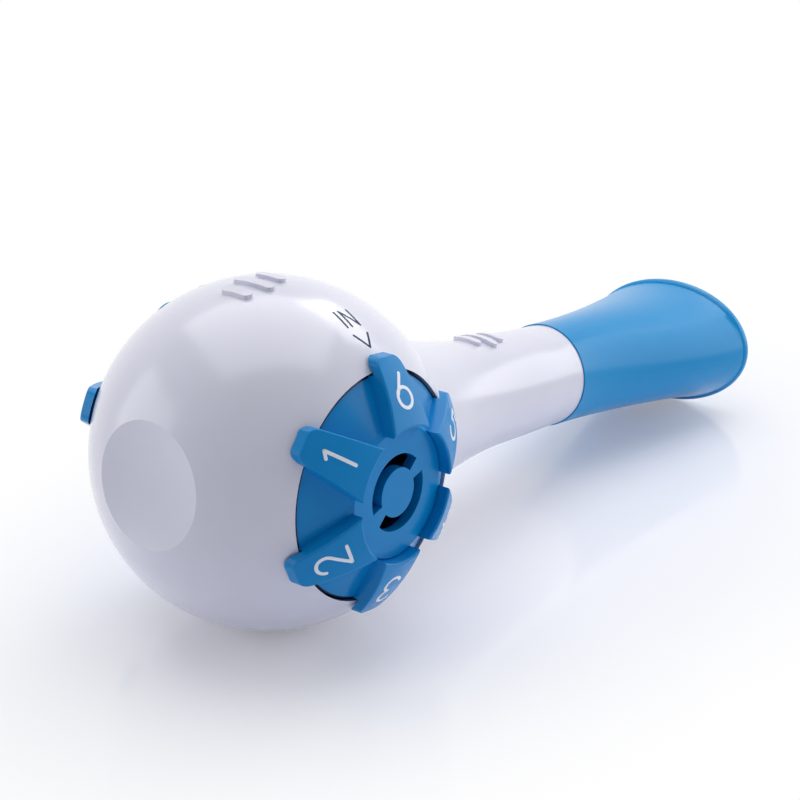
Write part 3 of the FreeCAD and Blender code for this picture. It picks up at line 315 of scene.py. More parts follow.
def moulded_group():
    """Moulded plastic: a faint flow mottle in the colour, patchy gloss and the tool's fine texture."""
    found = bpy.data.node_groups.get("moulded plastic")
    if found:
        return found
    group, start, end = new_group(
        "ShaderNodeTree",
        "moulded plastic",
        [
            ("Colour", "Color", (0.8, 0.8, 0.8, 1)),
            ("Mottle", "Float", 0.02),
            ("Roughness", "Float", 0.25),
            ("Roughness spread", "Float", 0.05),
            ("Grain per metre", "Float", 2500.0),
            ("Grain depth", "Float", 0.02),
            ("Ripple depth", "Float", 0.02),
        ],
        [("Colour", "Color"), ("Roughness", "Float"), ("Normal", "Vector")],
    )
    given = start.outputs
    place = add_node(group, "ShaderNodeTexCoord").outputs["Object"]
    patches = add_node(
        group,
        "ShaderNodeMapRange",
        {"Value": noise(group, place, FLOW_PER_METRE, detail=3.0), "From Min": 0.3, "From Max": 0.7,
         "To Min": -1.0, "To Max": 1.0},
        interpolation_type="SMOOTHSTEP",
    ).outputs["Result"]
    shade = worked(group, "MULTIPLY_ADD", patches, given["Mottle"], 1.0)
    tint = add_node(group, "ShaderNodeVectorMath", {0: given["Colour"], "Scale": shade}, operation="SCALE")
    gloss = worked(group, "MULTIPLY_ADD", patches, given["Roughness spread"], given["Roughness"])
    grain = noise(group, place, given["Grain per metre"], detail=2.0)
    fine = add_node(
        group,
        "ShaderNodeBump",
        {"Height": grain, "Strength": given["Grain depth"], "Distance": GRAIN_HEIGHT},
    )
    ripple = noise(group, place, RIPPLES_PER_METRE, detail=1.0)
    wide = add_node(
        group,
        "ShaderNodeBump",
        {"Height": ripple, "Strength": given["Ripple depth"], "Distance": RIPPLE_HEIGHT,
         "Normal": fine.outputs["Normal"]},
    )
    fill(group, end, {"Colour": tint.outputs["Vector"], "Roughness": gloss, "Normal": wide.outputs["Normal"]})
    return group


def moulded_material(
        name, colour, roughness, mottle=0.02, spread=0.025, grain=0.02, ripple=0.015, coat=0.0, specular=0.5):
    """Moulded plastic or rubber in one colour."""
    material, tree, shader = new_material(name)
    surface = add_node(
        tree,
        "ShaderNodeGroup",
        {"Colour": (*colour, 1), "Mottle": mottle, "Roughness": roughness, "Roughness spread": spread,
         "Grain depth": grain, "Ripple depth": ripple},
        node_tree=moulded_group(),
    ).outputs
    fill(tree, shader, {
        "Base Color": surface["Colour"],
        "Roughness": surface["Roughness"],
        "Normal": surface["Normal"],
        "Specular IOR Level": specular,
        "Coat Weight": coat,
        "Coat Roughness": COAT_ROUGHNESS,
    })
    return material


def skirt_group():
    """Painted shadow: darken the dial's rim next to the gap to its well, told by its distances from the
    dial's axis and from the ball's middle plane.
    """
    group, start, end = new_group(
        "ShaderNodeTree",
        "skirt shade",
        [
            ("Colour", "Color", (0.8, 0.8, 0.8, 1)),
            ("Skirt colour", "Color", (0.0, 0.0, 0.0, 1)),
            ("Centre", "Vector"),
            ("Radius", "Float", 0.02),
            ("Width", "Float", 0.0002),
            ("Height", "Float", 0.02),
        ],
        [("Colour", "Color")],
    )
    given = start.outputs
    place = add_node(group, "ShaderNodeTexCoord").outputs["Object"]
    reach = add_node(
        group, "ShaderNodeVectorMath", {0: place, 1: given["Centre"]}, operation="SUBTRACT").outputs["Vector"]
    flat = add_node(
        group, "ShaderNodeVectorMath", {0: reach, 1: (1, 0, 1)}, operation="MULTIPLY").outputs["Vector"]
    radius = add_node(group, "ShaderNodeVectorMath", {0: flat}, operation="LENGTH").outputs["Value"]
    height = worked(group, "ABSOLUTE", add_node(group, "ShaderNodeSeparateXYZ", {0: reach}).outputs["Y"])
    # Painted shadow: the thin band at the rim's radius, below the lug tops, is darkened
    in_gap_shadow = worked(group, "COMPARE", radius, given["Radius"], given["Width"])
    below = worked(group, "LESS_THAN", height, given["Height"])
    mixed = add_node(
        group,
        "ShaderNodeMixRGB",
        {"Fac": worked(group, "MULTIPLY", in_gap_shadow, below), "Color1": given["Colour"],
         "Color2": given["Skirt colour"]},
    )
    fill(group, end, {"Colour": mixed.outputs["Color"]})
    return group


def shade_skirt(material, settings):
    """Put the painted gap shadow between a dial material's colour and its shader."""
    tree = material.node_tree
    shader = next(node for node in tree.nodes if node.bl_idname == "ShaderNodeBsdfPrincipled")
    gap_shadow = add_node(
        tree,
        "ShaderNodeGroup",
        {
            "Colour": shader.inputs["Base Color"].links[0].from_socket,
            "Skirt colour": (*settings.skirt_colour, 1),
            "Centre": BALL_CENTRE,
            "Radius": settings.skirt_radius,
            "Width": settings.skirt_width,
            "Height": settings.skirt_height,
        },
        node_tree=skirt_group(),
    )
    fill(tree, shader, {"Base Color": gap_shadow.outputs["Colour"]})


def steel_material(name, colour, roughness):
    """Drawn steel with fine streaks."""
    material, tree, shader = new_material(name)
    place = add_node(tree, "ShaderNodeTexCoord").outputs["Object"]
    stretched = add_node(tree, "ShaderNodeMapping", {"Vector": place, "Scale": STREAKS_PER_METRE})
    streaks = noise(tree, stretched.outputs["Vector"], scale=1.0, detail=3.0)
    gloss = add_node(
        tree,
        "ShaderNodeMapRange",
        {
            "Value": streaks,
            "To Min": roughness * (1 - STREAK_SPREAD),
            "To Max": roughness * (1 + STREAK_SPREAD),
        },
    )
    bump = add_node(
        tree, "ShaderNodeBump", {"Height": streaks, "Strength": STREAK_DEPTH, "Distance": STREAK_HEIGHT})
    fill(tree, shader, {
        "Base Color": (*colour, 1),
        "Metallic": 1.0,
        "Roughness": gloss.outputs["Result"],
        "Normal": bump.outputs["Normal"],
    })
    return material


# Strokes of the numbers and letters, drawn in a box of height 1 about its middle

def arc(x, y, across, up, first, last, steps=14):
    """Points along part of an upright oval, angles in degrees."""
    angles = [math.radians(first + (last - first) * step / steps) for step in range(steps + 1)]
    return [(x + across * math.cos(angle), y + up * math.sin(angle)) for angle in angles]


GLYPHS = {
    "1": [[(0.03, -0.5), (0.03, 0.5)], [(0.03, 0.5), (-0.15, 0.37)]],
    "2": [
        arc(0.0, 0.23, 0.26, 0.27, 170, -12) + arc(-0.27, 0.25, 0.54, 0.42, -15, -38, 4) + [(-0.29, -0.5)],
        [(-0.29, -0.5), (0.3, -0.5)],
    ],
    "3": [arc(-0.02, 0.26, 0.23, 0.24, 150, -90) + arc(-0.02, -0.24, 0.27, 0.26, 90, -155)],
    "4": [[(0.14, -0.5), (0.14, 0.5)], [(0.14, 0.5), (-0.3, -0.2)], [(-0.3, -0.2), (0.32, -0.2)]],
    "5": [
        [(0.22, 0.5), (-0.17, 0.5)],
        [(-0.17, 0.5), (-0.2, 0.08)],
        arc(-0.01, -0.18, 0.27, 0.32, 133, -150, 20),
    ],
    "6": [[(0.12, 0.5), (-0.22, -0.06)], arc(0.0, -0.2, 0.28, 0.3, 152, 512, 30)],
    "I": [[(0.0, -0.5), (0.0, 0.5)]],
    "N": [[(-0.28, -0.5), (-0.28, 0.5)], [(-0.28, 0.5), (0.28, -0.5)], [(0.28, -0.5), (0.28, 0.5)]],
    "O": [arc(0.0, 0.0, 0.42, 0.5, 0, 360, 36)],
    "U": [[(-0.27, 0.5), (-0.27, -0.2)] + arc(0.0, -0.2, 0.27, 0.3, 180, 360, 20) + [(0.27, 0.5)]],
    "T": [[(-0.3, 0.5), (0.3, 0.5)], [(0.0, 0.5), (0.0, -0.5)]],
    "pointer": [[(-0.62, 0.5), (0.0, -0.5)], [(0.0, -0.5), (0.62, 0.5)]],
}
GLYPH_WIDTHS = {"I": 0.0, "N": 0.56, "O": 0.84, "U": 0.54, "T": 0.6}
LETTER_GAP = 0.3
STEP_LENGTH = 0.04
SAME_POINT = 1e-6
CAP_STEPS = 6
CAP_END_SHARE = 0.02


def even_points(points):
    """The stroke's points, close enough together to follow a ball."""
    result = [Vector(points[0])]
    for point in points[1:]:
        start, finish = result[-1], Vector(point)
        steps = max(1, math.ceil((finish - start).length / STEP_LENGTH))
        result += [start.lerp(finish, step / steps) for step in range(1, steps + 1)]
    return result


def stroke_sections(points, half_width):
    """Middle, sideways direction and half-width along a stroke with round ends."""
    path = even_points(points)
    closed = (path[0] - path[-1]).length < SAME_POINT
    if closed:
        path = path[:-1]
    count = len(path)
    sections = []
    for index, middle in enumerate(path):
        before = path[(index - 1) % count] if closed or index else middle
        after = path[(index + 1) % count] if closed or index < count - 1 else middle
        along = (after - before).normalized()
        sections.append((middle, Vector((-along.y, along.x)), half_width))
    if closed:
        return sections, True
    for end, sign in ((0, -1), (-1, 1)):
        middle, sideways, _ = sections[end]
        along = Vector((sideways.y, -sideways.x)) * sign
        cap = []
        for step in range(1, CAP_STEPS + 1):
            angle = math.pi / 2 * step / CAP_STEPS
            width = half_width * max(math.cos(angle), CAP_END_SHARE)
            cap.append((middle + along * half_width * math.sin(angle), sideways, width))
        sections = sections + cap if end else cap[::-1] + sections
    return sections, False


def add_stroke(mesh, points, half_width, on_ball, thickness):
    """Add one stroke as a closed band that lies on a ball and stands a little proud of it."""
    sections, closed = stroke_sections(points, half_width)
    rings = []
    for middle, sideways, width in sections:
        ring = []
        for side, lift in ((1, thickness), (-1, thickness), (-1, -thickness), (1, -thickness)):
            ring.append(mesh.verts.new(on_ball(middle + sideways * width * side, lift)))
        rings.append(ring)
    pairs = list(zip(rings, rings[1:]))
    if closed:
        pairs.append((rings[-1], rings[0]))
    for first, second in pairs:
        for corner in range(4):
            following = (corner + 1) % 4
            mesh.faces.new((first[corner], first[following], second[following], second[corner]))
    if not closed:
        mesh.faces.new(rings[0][::-1])
        mesh.faces.new(rings[-1])


def add_word(mesh, word, half_width, on_ball, thickness):
    """Add the letters of a word side by side, about its middle."""
    start = -(sum(GLYPH_WIDTHS[letter] for letter in word) + LETTER_GAP * (len(word) - 1)) / 2
    for letter in word:
        middle = start + GLYPH_WIDTHS[letter] / 2
        for points in GLYPHS[letter]:
            add_stroke(mesh, [(x + middle, y) for x, y in points], half_width, on_ball, thickness)
        start += GLYPH_WIDTHS[letter] + LETTER_GAP


def ball_placer(sign, turn, angle, radius, height):
    """Where a glyph's point lies: glyph up points away from the dial's axis, read from outside."""
    outward = turned(0, sign, 0)
    right = turned(-sign, 0, 0)
    away = right * math.cos(turn) + RIB_AXIS * math.sin(turn)
    across = right * math.sin(turn) - RIB_AXIS * math.cos(turn)

    def on_ball(point, lift):
        tilt = angle + point.y * height / radius
        swing = point.x * height / radius
        ahead = away * math.sin(tilt) + outward * math.cos(tilt)
        direction = ahead * math.cos(swing) + across * math.sin(swing)
        return BALL_CENTRE + direction * (radius + lift)

    return on_ball


def finish_piece(mesh, name, material, body):
    """Turn a bmesh into a piece that rides on a body."""
    bmesh.ops.recalc_face_normals(mesh, faces=mesh.faces)
    data = bpy.data.meshes.new(name)
    mesh.to_mesh(data)
    mesh.free()
    data.materials.append(material)
    piece = bpy.data.objects.new(name, data)
    bpy.context.scene.collection.objects.link(piece)
    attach(piece, body)


# Geometry trees

SEAM_DISTANCE = 0.001 * MM
COIL_STEPS = 40
WIRE_SIDES = 14
SHARP_ANGLE = math.radians(35)


def geometry_tree(name, inputs):
    """An empty geometry tree with its named inputs, its input node and its output node."""
    return new_group(
        "GeometryNodeTree", name, [("Geometry", "Geometry"), *inputs], [("Geometry", "Geometry")])


def end_tree(tree, end, geometry, place, turn, finish):
    """Turn and place the result, make it real and give it its finish."""
    moved = add_node(
        tree, "GeometryNodeTransform", {"Geometry": geometry, "Translation": place, "Rotation": turn})
    real = add_node(tree, "GeometryNodeRealizeInstances", {"Geometry": moved.outputs["Geometry"]})
    done = add_node(
        tree, "GeometryNodeSetMaterial", {"Geometry": real.outputs["Geometry"], "Material": finish})
    fill(tree, end, {"Geometry": done.outputs["Geometry"]})


def sleeve_tree():
    """Carry a section, kept as points of place, half height and side spread, round an oval sleeve."""
    tree, start, end = geometry_tree(
        "oval sleeve",
        [("Rows", "Int"), ("Around", "Int"), ("Centre", "Vector"), ("Turn", "Vector"),
         ("Finish", "Material")],
    )
    given = start.outputs
    columns = worked(tree, "ADD", given["Around"], 1)
    grid = add_node(
        tree,
        "GeometryNodeMeshGrid",
        {"Size X": 1, "Size Y": 1, "Vertices X": given["Rows"], "Vertices Y": columns},
    )
    position = add_node(tree, "GeometryNodeInputPosition").outputs["Position"]
    flat = add_node(tree, "ShaderNodeSeparateXYZ", {"Vector": position}).outputs
    last_row = worked(tree, "SUBTRACT", given["Rows"], 1)
    row = worked(tree, "ROUND", worked(tree, "MULTIPLY", worked(tree, "ADD", flat["X"], 0.5), last_row))
    angle = worked(tree, "MULTIPLY", worked(tree, "ADD", flat["Y"], 0.5), math.tau)
    sample = add_node(
        tree,
        "GeometryNodeSampleIndex",
        {"Geometry": given["Geometry"], "Value": position, "Index": row},
        data_type="FLOAT_VECTOR",
    )
    section = add_node(tree, "ShaderNodeSeparateXYZ", {"Vector": sample.outputs["Value"]}).outputs
    half_width = worked(tree, "ADD", section["Y"], section["Z"])
    across = worked(tree, "MULTIPLY", half_width, worked(tree, "COSINE", angle))
    up = worked(tree, "MULTIPLY", section["Y"], worked(tree, "SINE", angle))
    point = add_node(tree, "ShaderNodeCombineXYZ", {"X": section["X"], "Y": across, "Z": up})
    wrapped = add_node(
        tree,
        "GeometryNodeSetPosition",
        {"Geometry": grid.outputs["Mesh"], "Position": point.outputs["Vector"]},
    )
    closed = add_node(
        tree,
        "GeometryNodeMergeByDistance",
        {"Geometry": wrapped.outputs["Geometry"], "Distance": SEAM_DISTANCE},
    )
    end_tree(tree, end, closed.outputs["Geometry"], given["Centre"], given["Turn"], given["Finish"])
    return tree


def coil_tree():
    """A coil of round wire with plain cut ends."""
    tree, start, end = geometry_tree(
        "coil spring",
        [("Turns", "Float"), ("Coil radius", "Float"), ("Wire radius", "Float"), ("Length", "Float"),
         ("Foot", "Vector"), ("Turn", "Vector"), ("Finish", "Material")],
    )
    given = start.outputs
    path = add_node(
        tree,
        "GeometryNodeCurveSpiral",
        {"Resolution": COIL_STEPS, "Rotations": given["Turns"], "Start Radius": given["Coil radius"],
         "End Radius": given["Coil radius"], "Height": given["Length"], "Reverse": True},
    )
    wire = add_node(
        tree,
        "GeometryNodeCurvePrimitiveCircle",
        {"Resolution": WIRE_SIDES, "Radius": given["Wire radius"]},
    )
    swept = add_node(
        tree,
        "GeometryNodeCurveToMesh",
        {"Curve": path.outputs["Curve"], "Profile Curve": wire.outputs["Curve"], "Fill Caps": True},
    )
    end_tree(tree, end, swept.outputs["Mesh"], given["Foot"], given["Turn"], given["Finish"])
    return tree


def smooth_by_angle(data):
    """Face every shell outwards, and keep only the real corners sharp."""
    mesh = bmesh.new()
    mesh.from_mesh(data)
    bmesh.ops.recalc_face_normals(mesh, faces=mesh.faces)
    for face in mesh.faces:
        face.smooth = True
    for edge in mesh.edges:
        edge.smooth = len(edge.link_faces) != 2 or edge.calc_face_angle() < SHARP_ANGLE
    mesh.to_mesh(data)
    mesh.free()


def made_by(tree, name, values, points=()):
    """Run a geometry tree on some points and keep what it makes as a plain mesh."""
    data = bpy.data.meshes.new(name)
    data.from_pydata(points, [], [])
    piece = bpy.data.objects.new(name, data)
    bpy.context.scene.collection.objects.link(piece)
    modifier = piece.modifiers.new("tree", "NODES")
    modifier.node_group = tree
    for item in tree.interface.items_tree:
        if item.name in values and item.in_out == "INPUT":
            value = values[item.name]
            modifier[item.identifier] = tuple(value) if isinstance(value, (Vector, Euler)) else value
    bpy.context.view_layer.update()
    evaluated = piece.evaluated_get(bpy.context.evaluated_depsgraph_get())
    result = bpy.data.meshes.new_from_object(evaluated)
    piece.modifiers.clear()
    piece.data = result
    smooth_by_angle(result)
    return piece


# Section of the mouthpiece: points of place, half height and side spread, round the wall and back

OUTSIDE_STEPS = 44
LIP_STEPS = 8
BORE_STEPS = 24
LIP_FLARE_POWER = 6


def lip_arc(place, height, radius, first, last):
    """Places and heights along an arc of the lip, angles in degrees from the neck's direction."""
    return arc(place, height, radius, radius, first, last, LIP_STEPS)


def sleeve_section(size):
    """Outside from the neck to the lip, round the lip, back along the bore and the socket."""
    rounding = size.lip_rounding
    roll_height = size.lip_half_height - rounding
    roll_place = size.end - size.lip_thickness + rounding
    meeting = math.asin((rounding - size.lip_step) / rounding)
    length = roll_place - rounding * math.cos(meeting) - size.start
    end_height = size.lip_half_height - size.lip_step
    points = []
    for step in range(OUTSIDE_STEPS):
        share = step / OUTSIDE_STEPS
        height = size.start_radius + (size.half_height - size.start_radius) * share ** 2
        height += (end_height - size.half_height) * share ** LIP_FLARE_POWER
        spread = size.side_spread * share * share * (3 - 2 * share)
        points.append((size.start + length * share, height, spread))
    end_width = end_height + size.side_spread
    for place, height in lip_arc(roll_place, roll_height, rounding, 180 - math.degrees(meeting), 90):
        points.append((place, height, max(size.lip_spread, end_width - height)))
    for place, height in lip_arc(size.end - rounding, roll_height, rounding, 90, 0):
        points.append((place, height, size.lip_spread))
    for step in range(BORE_STEPS + 1):
        share = 1 - step / BORE_STEPS
        height = size.bore_radius + (size.mouth_half_height - size.bore_radius) * share
        spread = size.mouth_spread * share * (2 - share)
        points.append((size.socket_end + (size.end - size.socket_end) * share, height, spread))
    points.append((size.socket_end, size.socket_radius, 0))
    points.append((size.start, size.socket_radius, 0))
    points.append(points[0])
    return points


# Detent springs

def detent_spring(tree, side, size, finish):
    """A coil that fills the box of a packed detent spring."""
    low, high = (Vector(corner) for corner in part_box(f"{side}_detent_spring"))
    sign = SIDES[side]
    middle = (low + high) / 2
    foot_y = (low.y if sign > 0 else high.y) + sign * size.wire_radius
    values = {
        "Turns": size.turns,
        "Coil radius": (high.x - low.x) / 2 - size.wire_radius,
        "Wire radius": size.wire_radius,
        "Length": high.y - low.y - 2 * size.wire_radius,
        "Foot": Vector((middle.x, foot_y, middle.z)),
        "Turn": Euler((-sign * math.pi / 2, 0, 0)),
        "Finish": finish,
    }
    return made_by(tree, f"{side}_detent_coil", values)


# Stage

# The photograph's camera in the trainer's own axes: its place in mm from the ball's centre, right and up
CAMERA_PLACE = (-227.2, -199.8, 94.4)
CAMERA_RIGHT = (0.6159, -0.7846, 0.0706)
CAMERA_UP = (0.1672, 0.2178, 0.9616)
SENSOR_WIDTH = 36.0
NEAREST_SEEN = 0.01

# Soft panels of light: place and size in metres
LAMPS = {
    "back": ((0.66, 0.05, 0.62), (0.5, 0.3)),
    "top": ((0.16, 0.19, 0.97), (1.2, 1.2)),
    "right": ((0.55, -0.46, 0.24), (0.8, 0.5)),
    "left": ((-0.51, 0.56, 0.22), (0.6, 0.5)),
}
LAMP_TARGET = Vector((0, 0, 0.03))

# The paper's distance counts less along the trainer than across it
PAPER_STRETCH = (0.6, 1.0, 1.0)


def add_camera(scene, lens):
    """The camera at the photograph's place."""
    camera = bpy.data.objects.new("camera", bpy.data.cameras.new("camera"))
    camera.data.lens = lens
    camera.data.sensor_width = SENSOR_WIDTH
    camera.data.clip_start = NEAREST_SEEN
    right = turned(*CAMERA_RIGHT)
    up = turned(*CAMERA_UP)
    basis = Matrix((right, up, right.cross(up))).transposed().to_4x4()
    camera.matrix_world = Matrix.Translation(placed(*CAMERA_PLACE)) @ basis
    scene.collection.objects.link(camera)
    scene.camera = camera


def add_lamp(scene, name, place, size, power):
    """A soft panel of light aimed at the trainer."""
    lamp = bpy.data.lights.new(name, "AREA")
    lamp.shape = "RECTANGLE"
    lamp.size, lamp.size_y = size
    lamp.energy = power
    holder = bpy.data.objects.new(name, lamp)
    holder.location = place
    holder.rotation_euler = (LAMP_TARGET - Vector(place)).to_track_quat("-Z", "Y").to_euler()
    holder.visible_camera = False
    scene.collection.objects.link(holder)


def seen_rays(tree):
    """1 for the rays that show a background: the camera's, and those that mirrors and glass pass on."""
    rays = add_node(tree, "ShaderNodeLightPath").outputs
    mirrored = worked(tree, "MAXIMUM", rays["Is Camera Ray"], rays["Is Glossy Ray"])
    return worked(tree, "MAXIMUM", mirrored, rays["Is Transmission Ray"])


def floor_material(settings):
    """Polished pale board that fades to white paper with distance."""
    material, tree, shader = new_material("floor")
    surface = add_node(
        tree,
        "ShaderNodeGroup",
        {"Colour": (*settings.floor_colour, 1), "Mottle": 0.0, "Roughness": settings.floor_roughness},
        node_tree=moulded_group(),
    ).outputs
    fill(tree, shader, {"Base Color": surface["Colour"], "Roughness": surface["Roughness"]})

    place = add_node(tree, "ShaderNodeTexCoord").outputs["Object"]
    stretched = add_node(tree, "ShaderNodeMapping", {"Vector": place, "Scale": PAPER_STRETCH})
    reach = add_node(tree, "ShaderNodeVectorMath", {0: stretched.outputs["Vector"]}, operation="LENGTH")
    fade = add_node(
        tree,
        "ShaderNodeMapRange",
        {"Value": reach.outputs["Value"], "From Min": settings.paper_start, "From Max": settings.paper_end,
         "To Min": settings.paper_share},
        interpolation_type="SMOOTHSTEP",
    )
    share = worked(tree, "MULTIPLY", fade.outputs["Result"], seen_rays(tree))
    paper = add_node(tree, "ShaderNodeEmission").outputs["Emission"]
    mix = add_node(tree, "ShaderNodeMixShader", {"Fac": share, 1: shader.outputs["BSDF"], 2: paper})
    output = next(node for node in tree.nodes if node.bl_idname == "ShaderNodeOutputMaterial")
    fill(tree, output, {"Surface": mix.outputs["Shader"]})
    return material


def add_floor(scene, settings):
    """A square board that the trainer lies on."""
    half = settings.floor_size / 2
    corners = [(x * half, y * half, 0) for x, y in ((-1, -1), (1, -1), (1, 1), (-1, 1))]
    data = bpy.data.meshes.new("floor")
    data.from_pydata(corners, [], [range(len(corners))])
    data.materials.append(floor_material(settings))
    floor = bpy.data.objects.new("floor", data)
    scene.collection.objects.link(floor)


def room_world(settings):
    """A dim room that lights the trainer, and white paper wherever the world itself is seen."""
    world = bpy.data.worlds.new("studio")
    world.use_nodes = True
    tree = world.node_tree
    tree.nodes.clear()
    room = add_node(
        tree,
        "ShaderNodeBackground",
        {"Color": (*settings.room_colour, 1), "Strength": settings.room_strength},
    )
    paper = add_node(tree, "ShaderNodeBackground", {"Color": (1, 1, 1, 1)})
    mix = add_node(
        tree,
        "ShaderNodeMixShader",
        {"Fac": seen_rays(tree), 1: room.outputs["Background"], 2: paper.outputs["Background"]},
    )
    add_node(tree, "ShaderNodeOutputWorld", {"Surface": mix.outputs["Shader"]})
    return world


# Operators

WORDS = {"inhale": "IN", "exhale": "OUT"}


def paint(nodes, material):
    """Give CAD nodes one finish."""
    for name in nodes:
        node = frame["nodes"][name]
        node.data.materials.clear()
        node.data.materials.append(material)


def on_both_sides(*kinds):
    """The names of like nodes on the inhale and the exhale side."""
    return [f"{side}_{kind}" for side in SIDES for kind in kinds]


class TRAINER_OT_stage(bpy.types.Operator):
    """Pale floor, soft studio light and the camera at the photograph's angle"""
    bl_idname = "trainer.stage"
    bl_label = "Stage"

    def execute(self, context):
        scene = context.scene
        settings = scene.trainer_stage
        add_camera(scene, settings.lens)
        add_floor(scene, settings)
        for name, (place, size) in LAMPS.items():
            add_lamp(scene, f"{name} lamp", place, size, getattr(settings, f"{name}_power"))
        scene.world = room_world(settings)
        scene.view_settings.view_transform = "Standard"
        return {"FINISHED"}


class TRAINER_OT_shell(bpy.types.Operator):
    """Glossy white plastic for the ball and the neck"""
    bl_idname = "trainer.shell"
    bl_label = "Ball and neck"

    def execute(self, context):
        settings = context.scene.trainer_finish
        white = moulded_material("shell white", settings.shell_colour, settings.shell_roughness, coat=0.5)
        paint(["ball_shell", "neck_tube"], white)
        return {"FINISHED"}


class TRAINER_OT_dials(bpy.types.Operator):
    """Blue plastic for the two dials, with a painted shadow on their rims in the gap to the wells"""
    bl_idname = "trainer.dials"
    bl_label = "Dials"

    def execute(self, context):
        settings = context.scene.trainer_finish
        blue = moulded_material("dial blue", settings.dial_colour, settings.blue_roughness, specular=0.18)
        # Painted shadow along the gap between each dial's rim and its well
        shade_skirt(blue, settings)
        paint(on_both_sides("dial"), blue)
        return {"FINISHED"}


class TRAINER_OT_mouthpiece(bpy.types.Operator):
    """The blue mouthpiece, made from the rule of its section"""
    bl_idname = "trainer.mouthpiece"
    bl_label = "Mouthpiece"

    def execute(self, context):
        settings = context.scene.trainer_finish
        size = context.scene.trainer_mouthpiece
        blue = moulded_material(
            "mouthpiece blue", settings.mouthpiece_colour, settings.blue_roughness, specular=0.22)
        section = sleeve_section(size)
        values = {
            "Rows": len(section),
            "Around": size.around,
            "Centre": BALL_CENTRE,
            "Turn": Matrix((NECK_AXIS, SIDE_AXIS, RIB_AXIS)).transposed().to_euler(),
            "Finish": blue,
        }
        sleeve = made_by(sleeve_tree(), "mouthpiece_sleeve_skin", values, section)
        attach(sleeve, "mouthpiece_sleeve")
        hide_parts("mouthpiece")
        return {"FINISHED"}


class TRAINER_OT_inside(bpy.types.Operator):
    """Plastics and rubbers of the seats, discs, washers, valves and seals"""
    bl_idname = "trainer.inside"
    bl_label = "Inside plastics"

    def execute(self, context):
        grey = moulded_material("inner grey", colour=(0.52, 0.54, 0.58), roughness=0.4)
        paint(on_both_sides("seat_plate", "valve_cage"), grey)
        navy = moulded_material("disc navy", colour=(0.025, 0.025, 0.11), roughness=0.35)
        paint(on_both_sides("metering_disc"), navy)
        black = moulded_material("seal black", colour=(0.012, 0.012, 0.014), roughness=0.55, mottle=0.1)
        paint(on_both_sides("window_gasket") + ["neck_seal", "mouthpiece_seal"], black)
        silicone = moulded_material("flap silicone", colour=(0.52, 0.52, 0.48), roughness=0.35)
        paint(on_both_sides("valve_flap"), silicone)
        nylon = moulded_material("washer nylon", colour=(0.68, 0.66, 0.58), roughness=0.4)
        paint(on_both_sides("thrust_washer"), nylon)
        return {"FINISHED"}


class TRAINER_OT_steel(bpy.types.Operator):
    """Steel for the screws, pins and detent balls, and the detent springs as coils of wire"""
    bl_idname = "trainer.steel"
    bl_label = "Steel pieces"

    def execute(self, context):
        screw_steel = steel_material("screw steel", colour=(0.32, 0.32, 0.34), roughness=0.3)
        paint(on_both_sides("axle_screw"), screw_steel)
        bright_steel = steel_material("spring steel", colour=(0.42, 0.42, 0.44), roughness=0.2)
        paint(on_both_sides("detent_ball", "flap_pin"), bright_steel)
        tree = coil_tree()
        for side in SIDES:
            spring = detent_spring(tree, side, context.scene.trainer_spring, bright_steel)
            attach(spring, "trainer_body")
            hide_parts(f"{side}_detent_spring")
        return {"FINISHED"}


class TRAINER_OT_numbers(bpy.types.Operator):
    """White numbers on the lugs of both dials"""
    bl_idname = "trainer.numbers"
    bl_label = "Dial numbers"

    def execute(self, context):
        size = context.scene.trainer_numbers
        colour = context.scene.trainer_finish.number_colour
        white = moulded_material("number white", colour, roughness=0.4, mottle=0.01, grain=0.1)
        half_width = size.stroke / size.height / 2
        for side, sign in SIDES.items():
            count = getattr(size, f"{side}_count")
            mesh = bmesh.new()
            for step in range(count):
                turn = math.pi / 2 + math.tau * step / count
                on_ball = ball_placer(sign, turn, size.angle, size.lug_radius, size.height)
                # At rest the lug on top has the highest number
                for points in GLYPHS[str(step or count)]:
                    add_stroke(mesh, points, half_width, on_ball, size.thickness)
            finish_piece(mesh, f"{side}_numbers", white, f"{side}_knob")
        return {"FINISHED"}


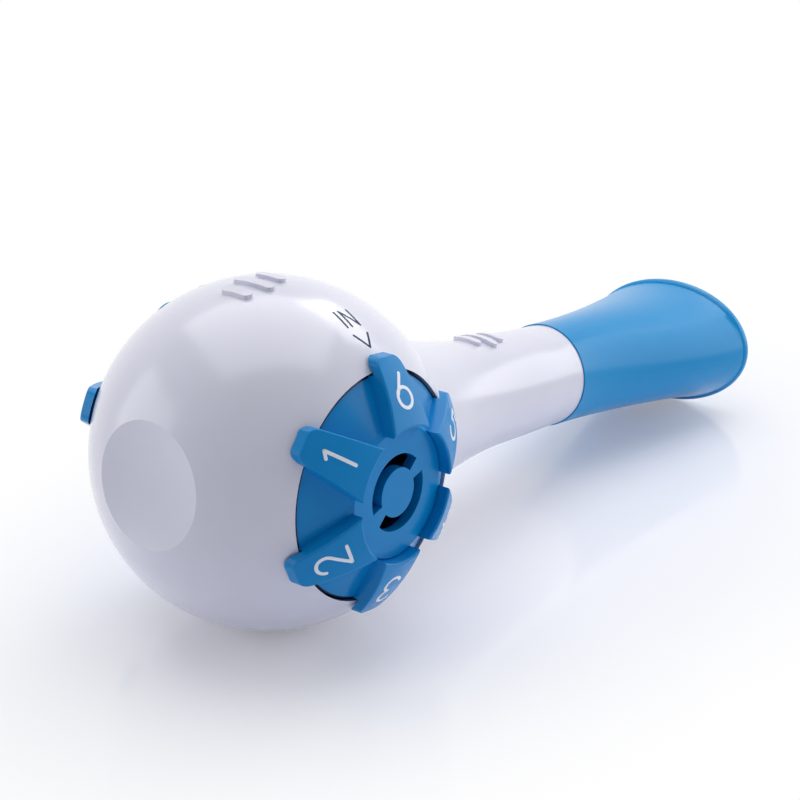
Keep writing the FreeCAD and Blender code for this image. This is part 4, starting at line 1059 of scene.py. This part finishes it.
class TRAINER_OT_print(bpy.types.Operator):
    """IN and OUT with a pointer above each dial"""
    bl_idname = "trainer.print"
    bl_label = "Print on the ball"

    def execute(self, context):
        size = context.scene.trainer_print
        colour = context.scene.trainer_finish.print_colour
        ink = moulded_material("print ink", colour, roughness=0.35, mottle=0.05, specular=0.15)
        above = math.pi / 2
        for side, sign in SIDES.items():
            mesh = bmesh.new()
            on_letters = ball_placer(sign, above, size.angle, size.ball_radius, size.height)
            add_word(mesh, WORDS[side], size.stroke / size.height / 2, on_letters, size.thickness)
            on_pointer = ball_placer(sign, above, size.pointer_angle, size.ball_radius, size.pointer_height)
            for points in GLYPHS["pointer"]:
                add_stroke(mesh, points, size.stroke / size.pointer_height / 2, on_pointer, size.thickness)
            finish_piece(mesh, f"{side}_print", ink, "trainer_body")
        return {"FINISHED"}


OPERATORS = (
    TRAINER_OT_stage,
    TRAINER_OT_shell,
    TRAINER_OT_dials,
    TRAINER_OT_mouthpiece,
    TRAINER_OT_inside,
    TRAINER_OT_steel,
    TRAINER_OT_numbers,
    TRAINER_OT_print,
)


class TRAINER_PT_panel(bpy.types.Panel):
    """The trainer's pieces, in the order they are made"""
    bl_idname = "TRAINER_PT_panel"
    bl_label = "Breathing trainer"
    bl_space_type = "VIEW_3D"
    bl_region_type = "UI"
    bl_category = "Trainer"

    def draw(self, context):
        for operator in OPERATORS:
            self.layout.operator(operator.bl_idname)


SETTINGS = {
    "trainer_finish": FinishSettings,
    "trainer_mouthpiece": MouthpieceSettings,
    "trainer_spring": SpringSettings,
    "trainer_numbers": NumberSettings,
    "trainer_print": PrintSettings,
    "trainer_stage": StageSettings,
}
CLASSES = (*SETTINGS.values(), *OPERATORS, TRAINER_PT_panel)


def register():
    for item in CLASSES:
        bpy.utils.register_class(item)
    for name, group in SETTINGS.items():
        setattr(bpy.types.Scene, name, PointerProperty(type=group))


def unregister():
    for name in SETTINGS:
        delattr(bpy.types.Scene, name)
    for item in reversed(CLASSES):
        bpy.utils.unregister_class(item)


def main():
    register()
    for operator in OPERATORS:
        module, name = operator.bl_idname.split(".")
        getattr(getattr(bpy.ops, module), name)()


if __name__ == "__main__":
    main()
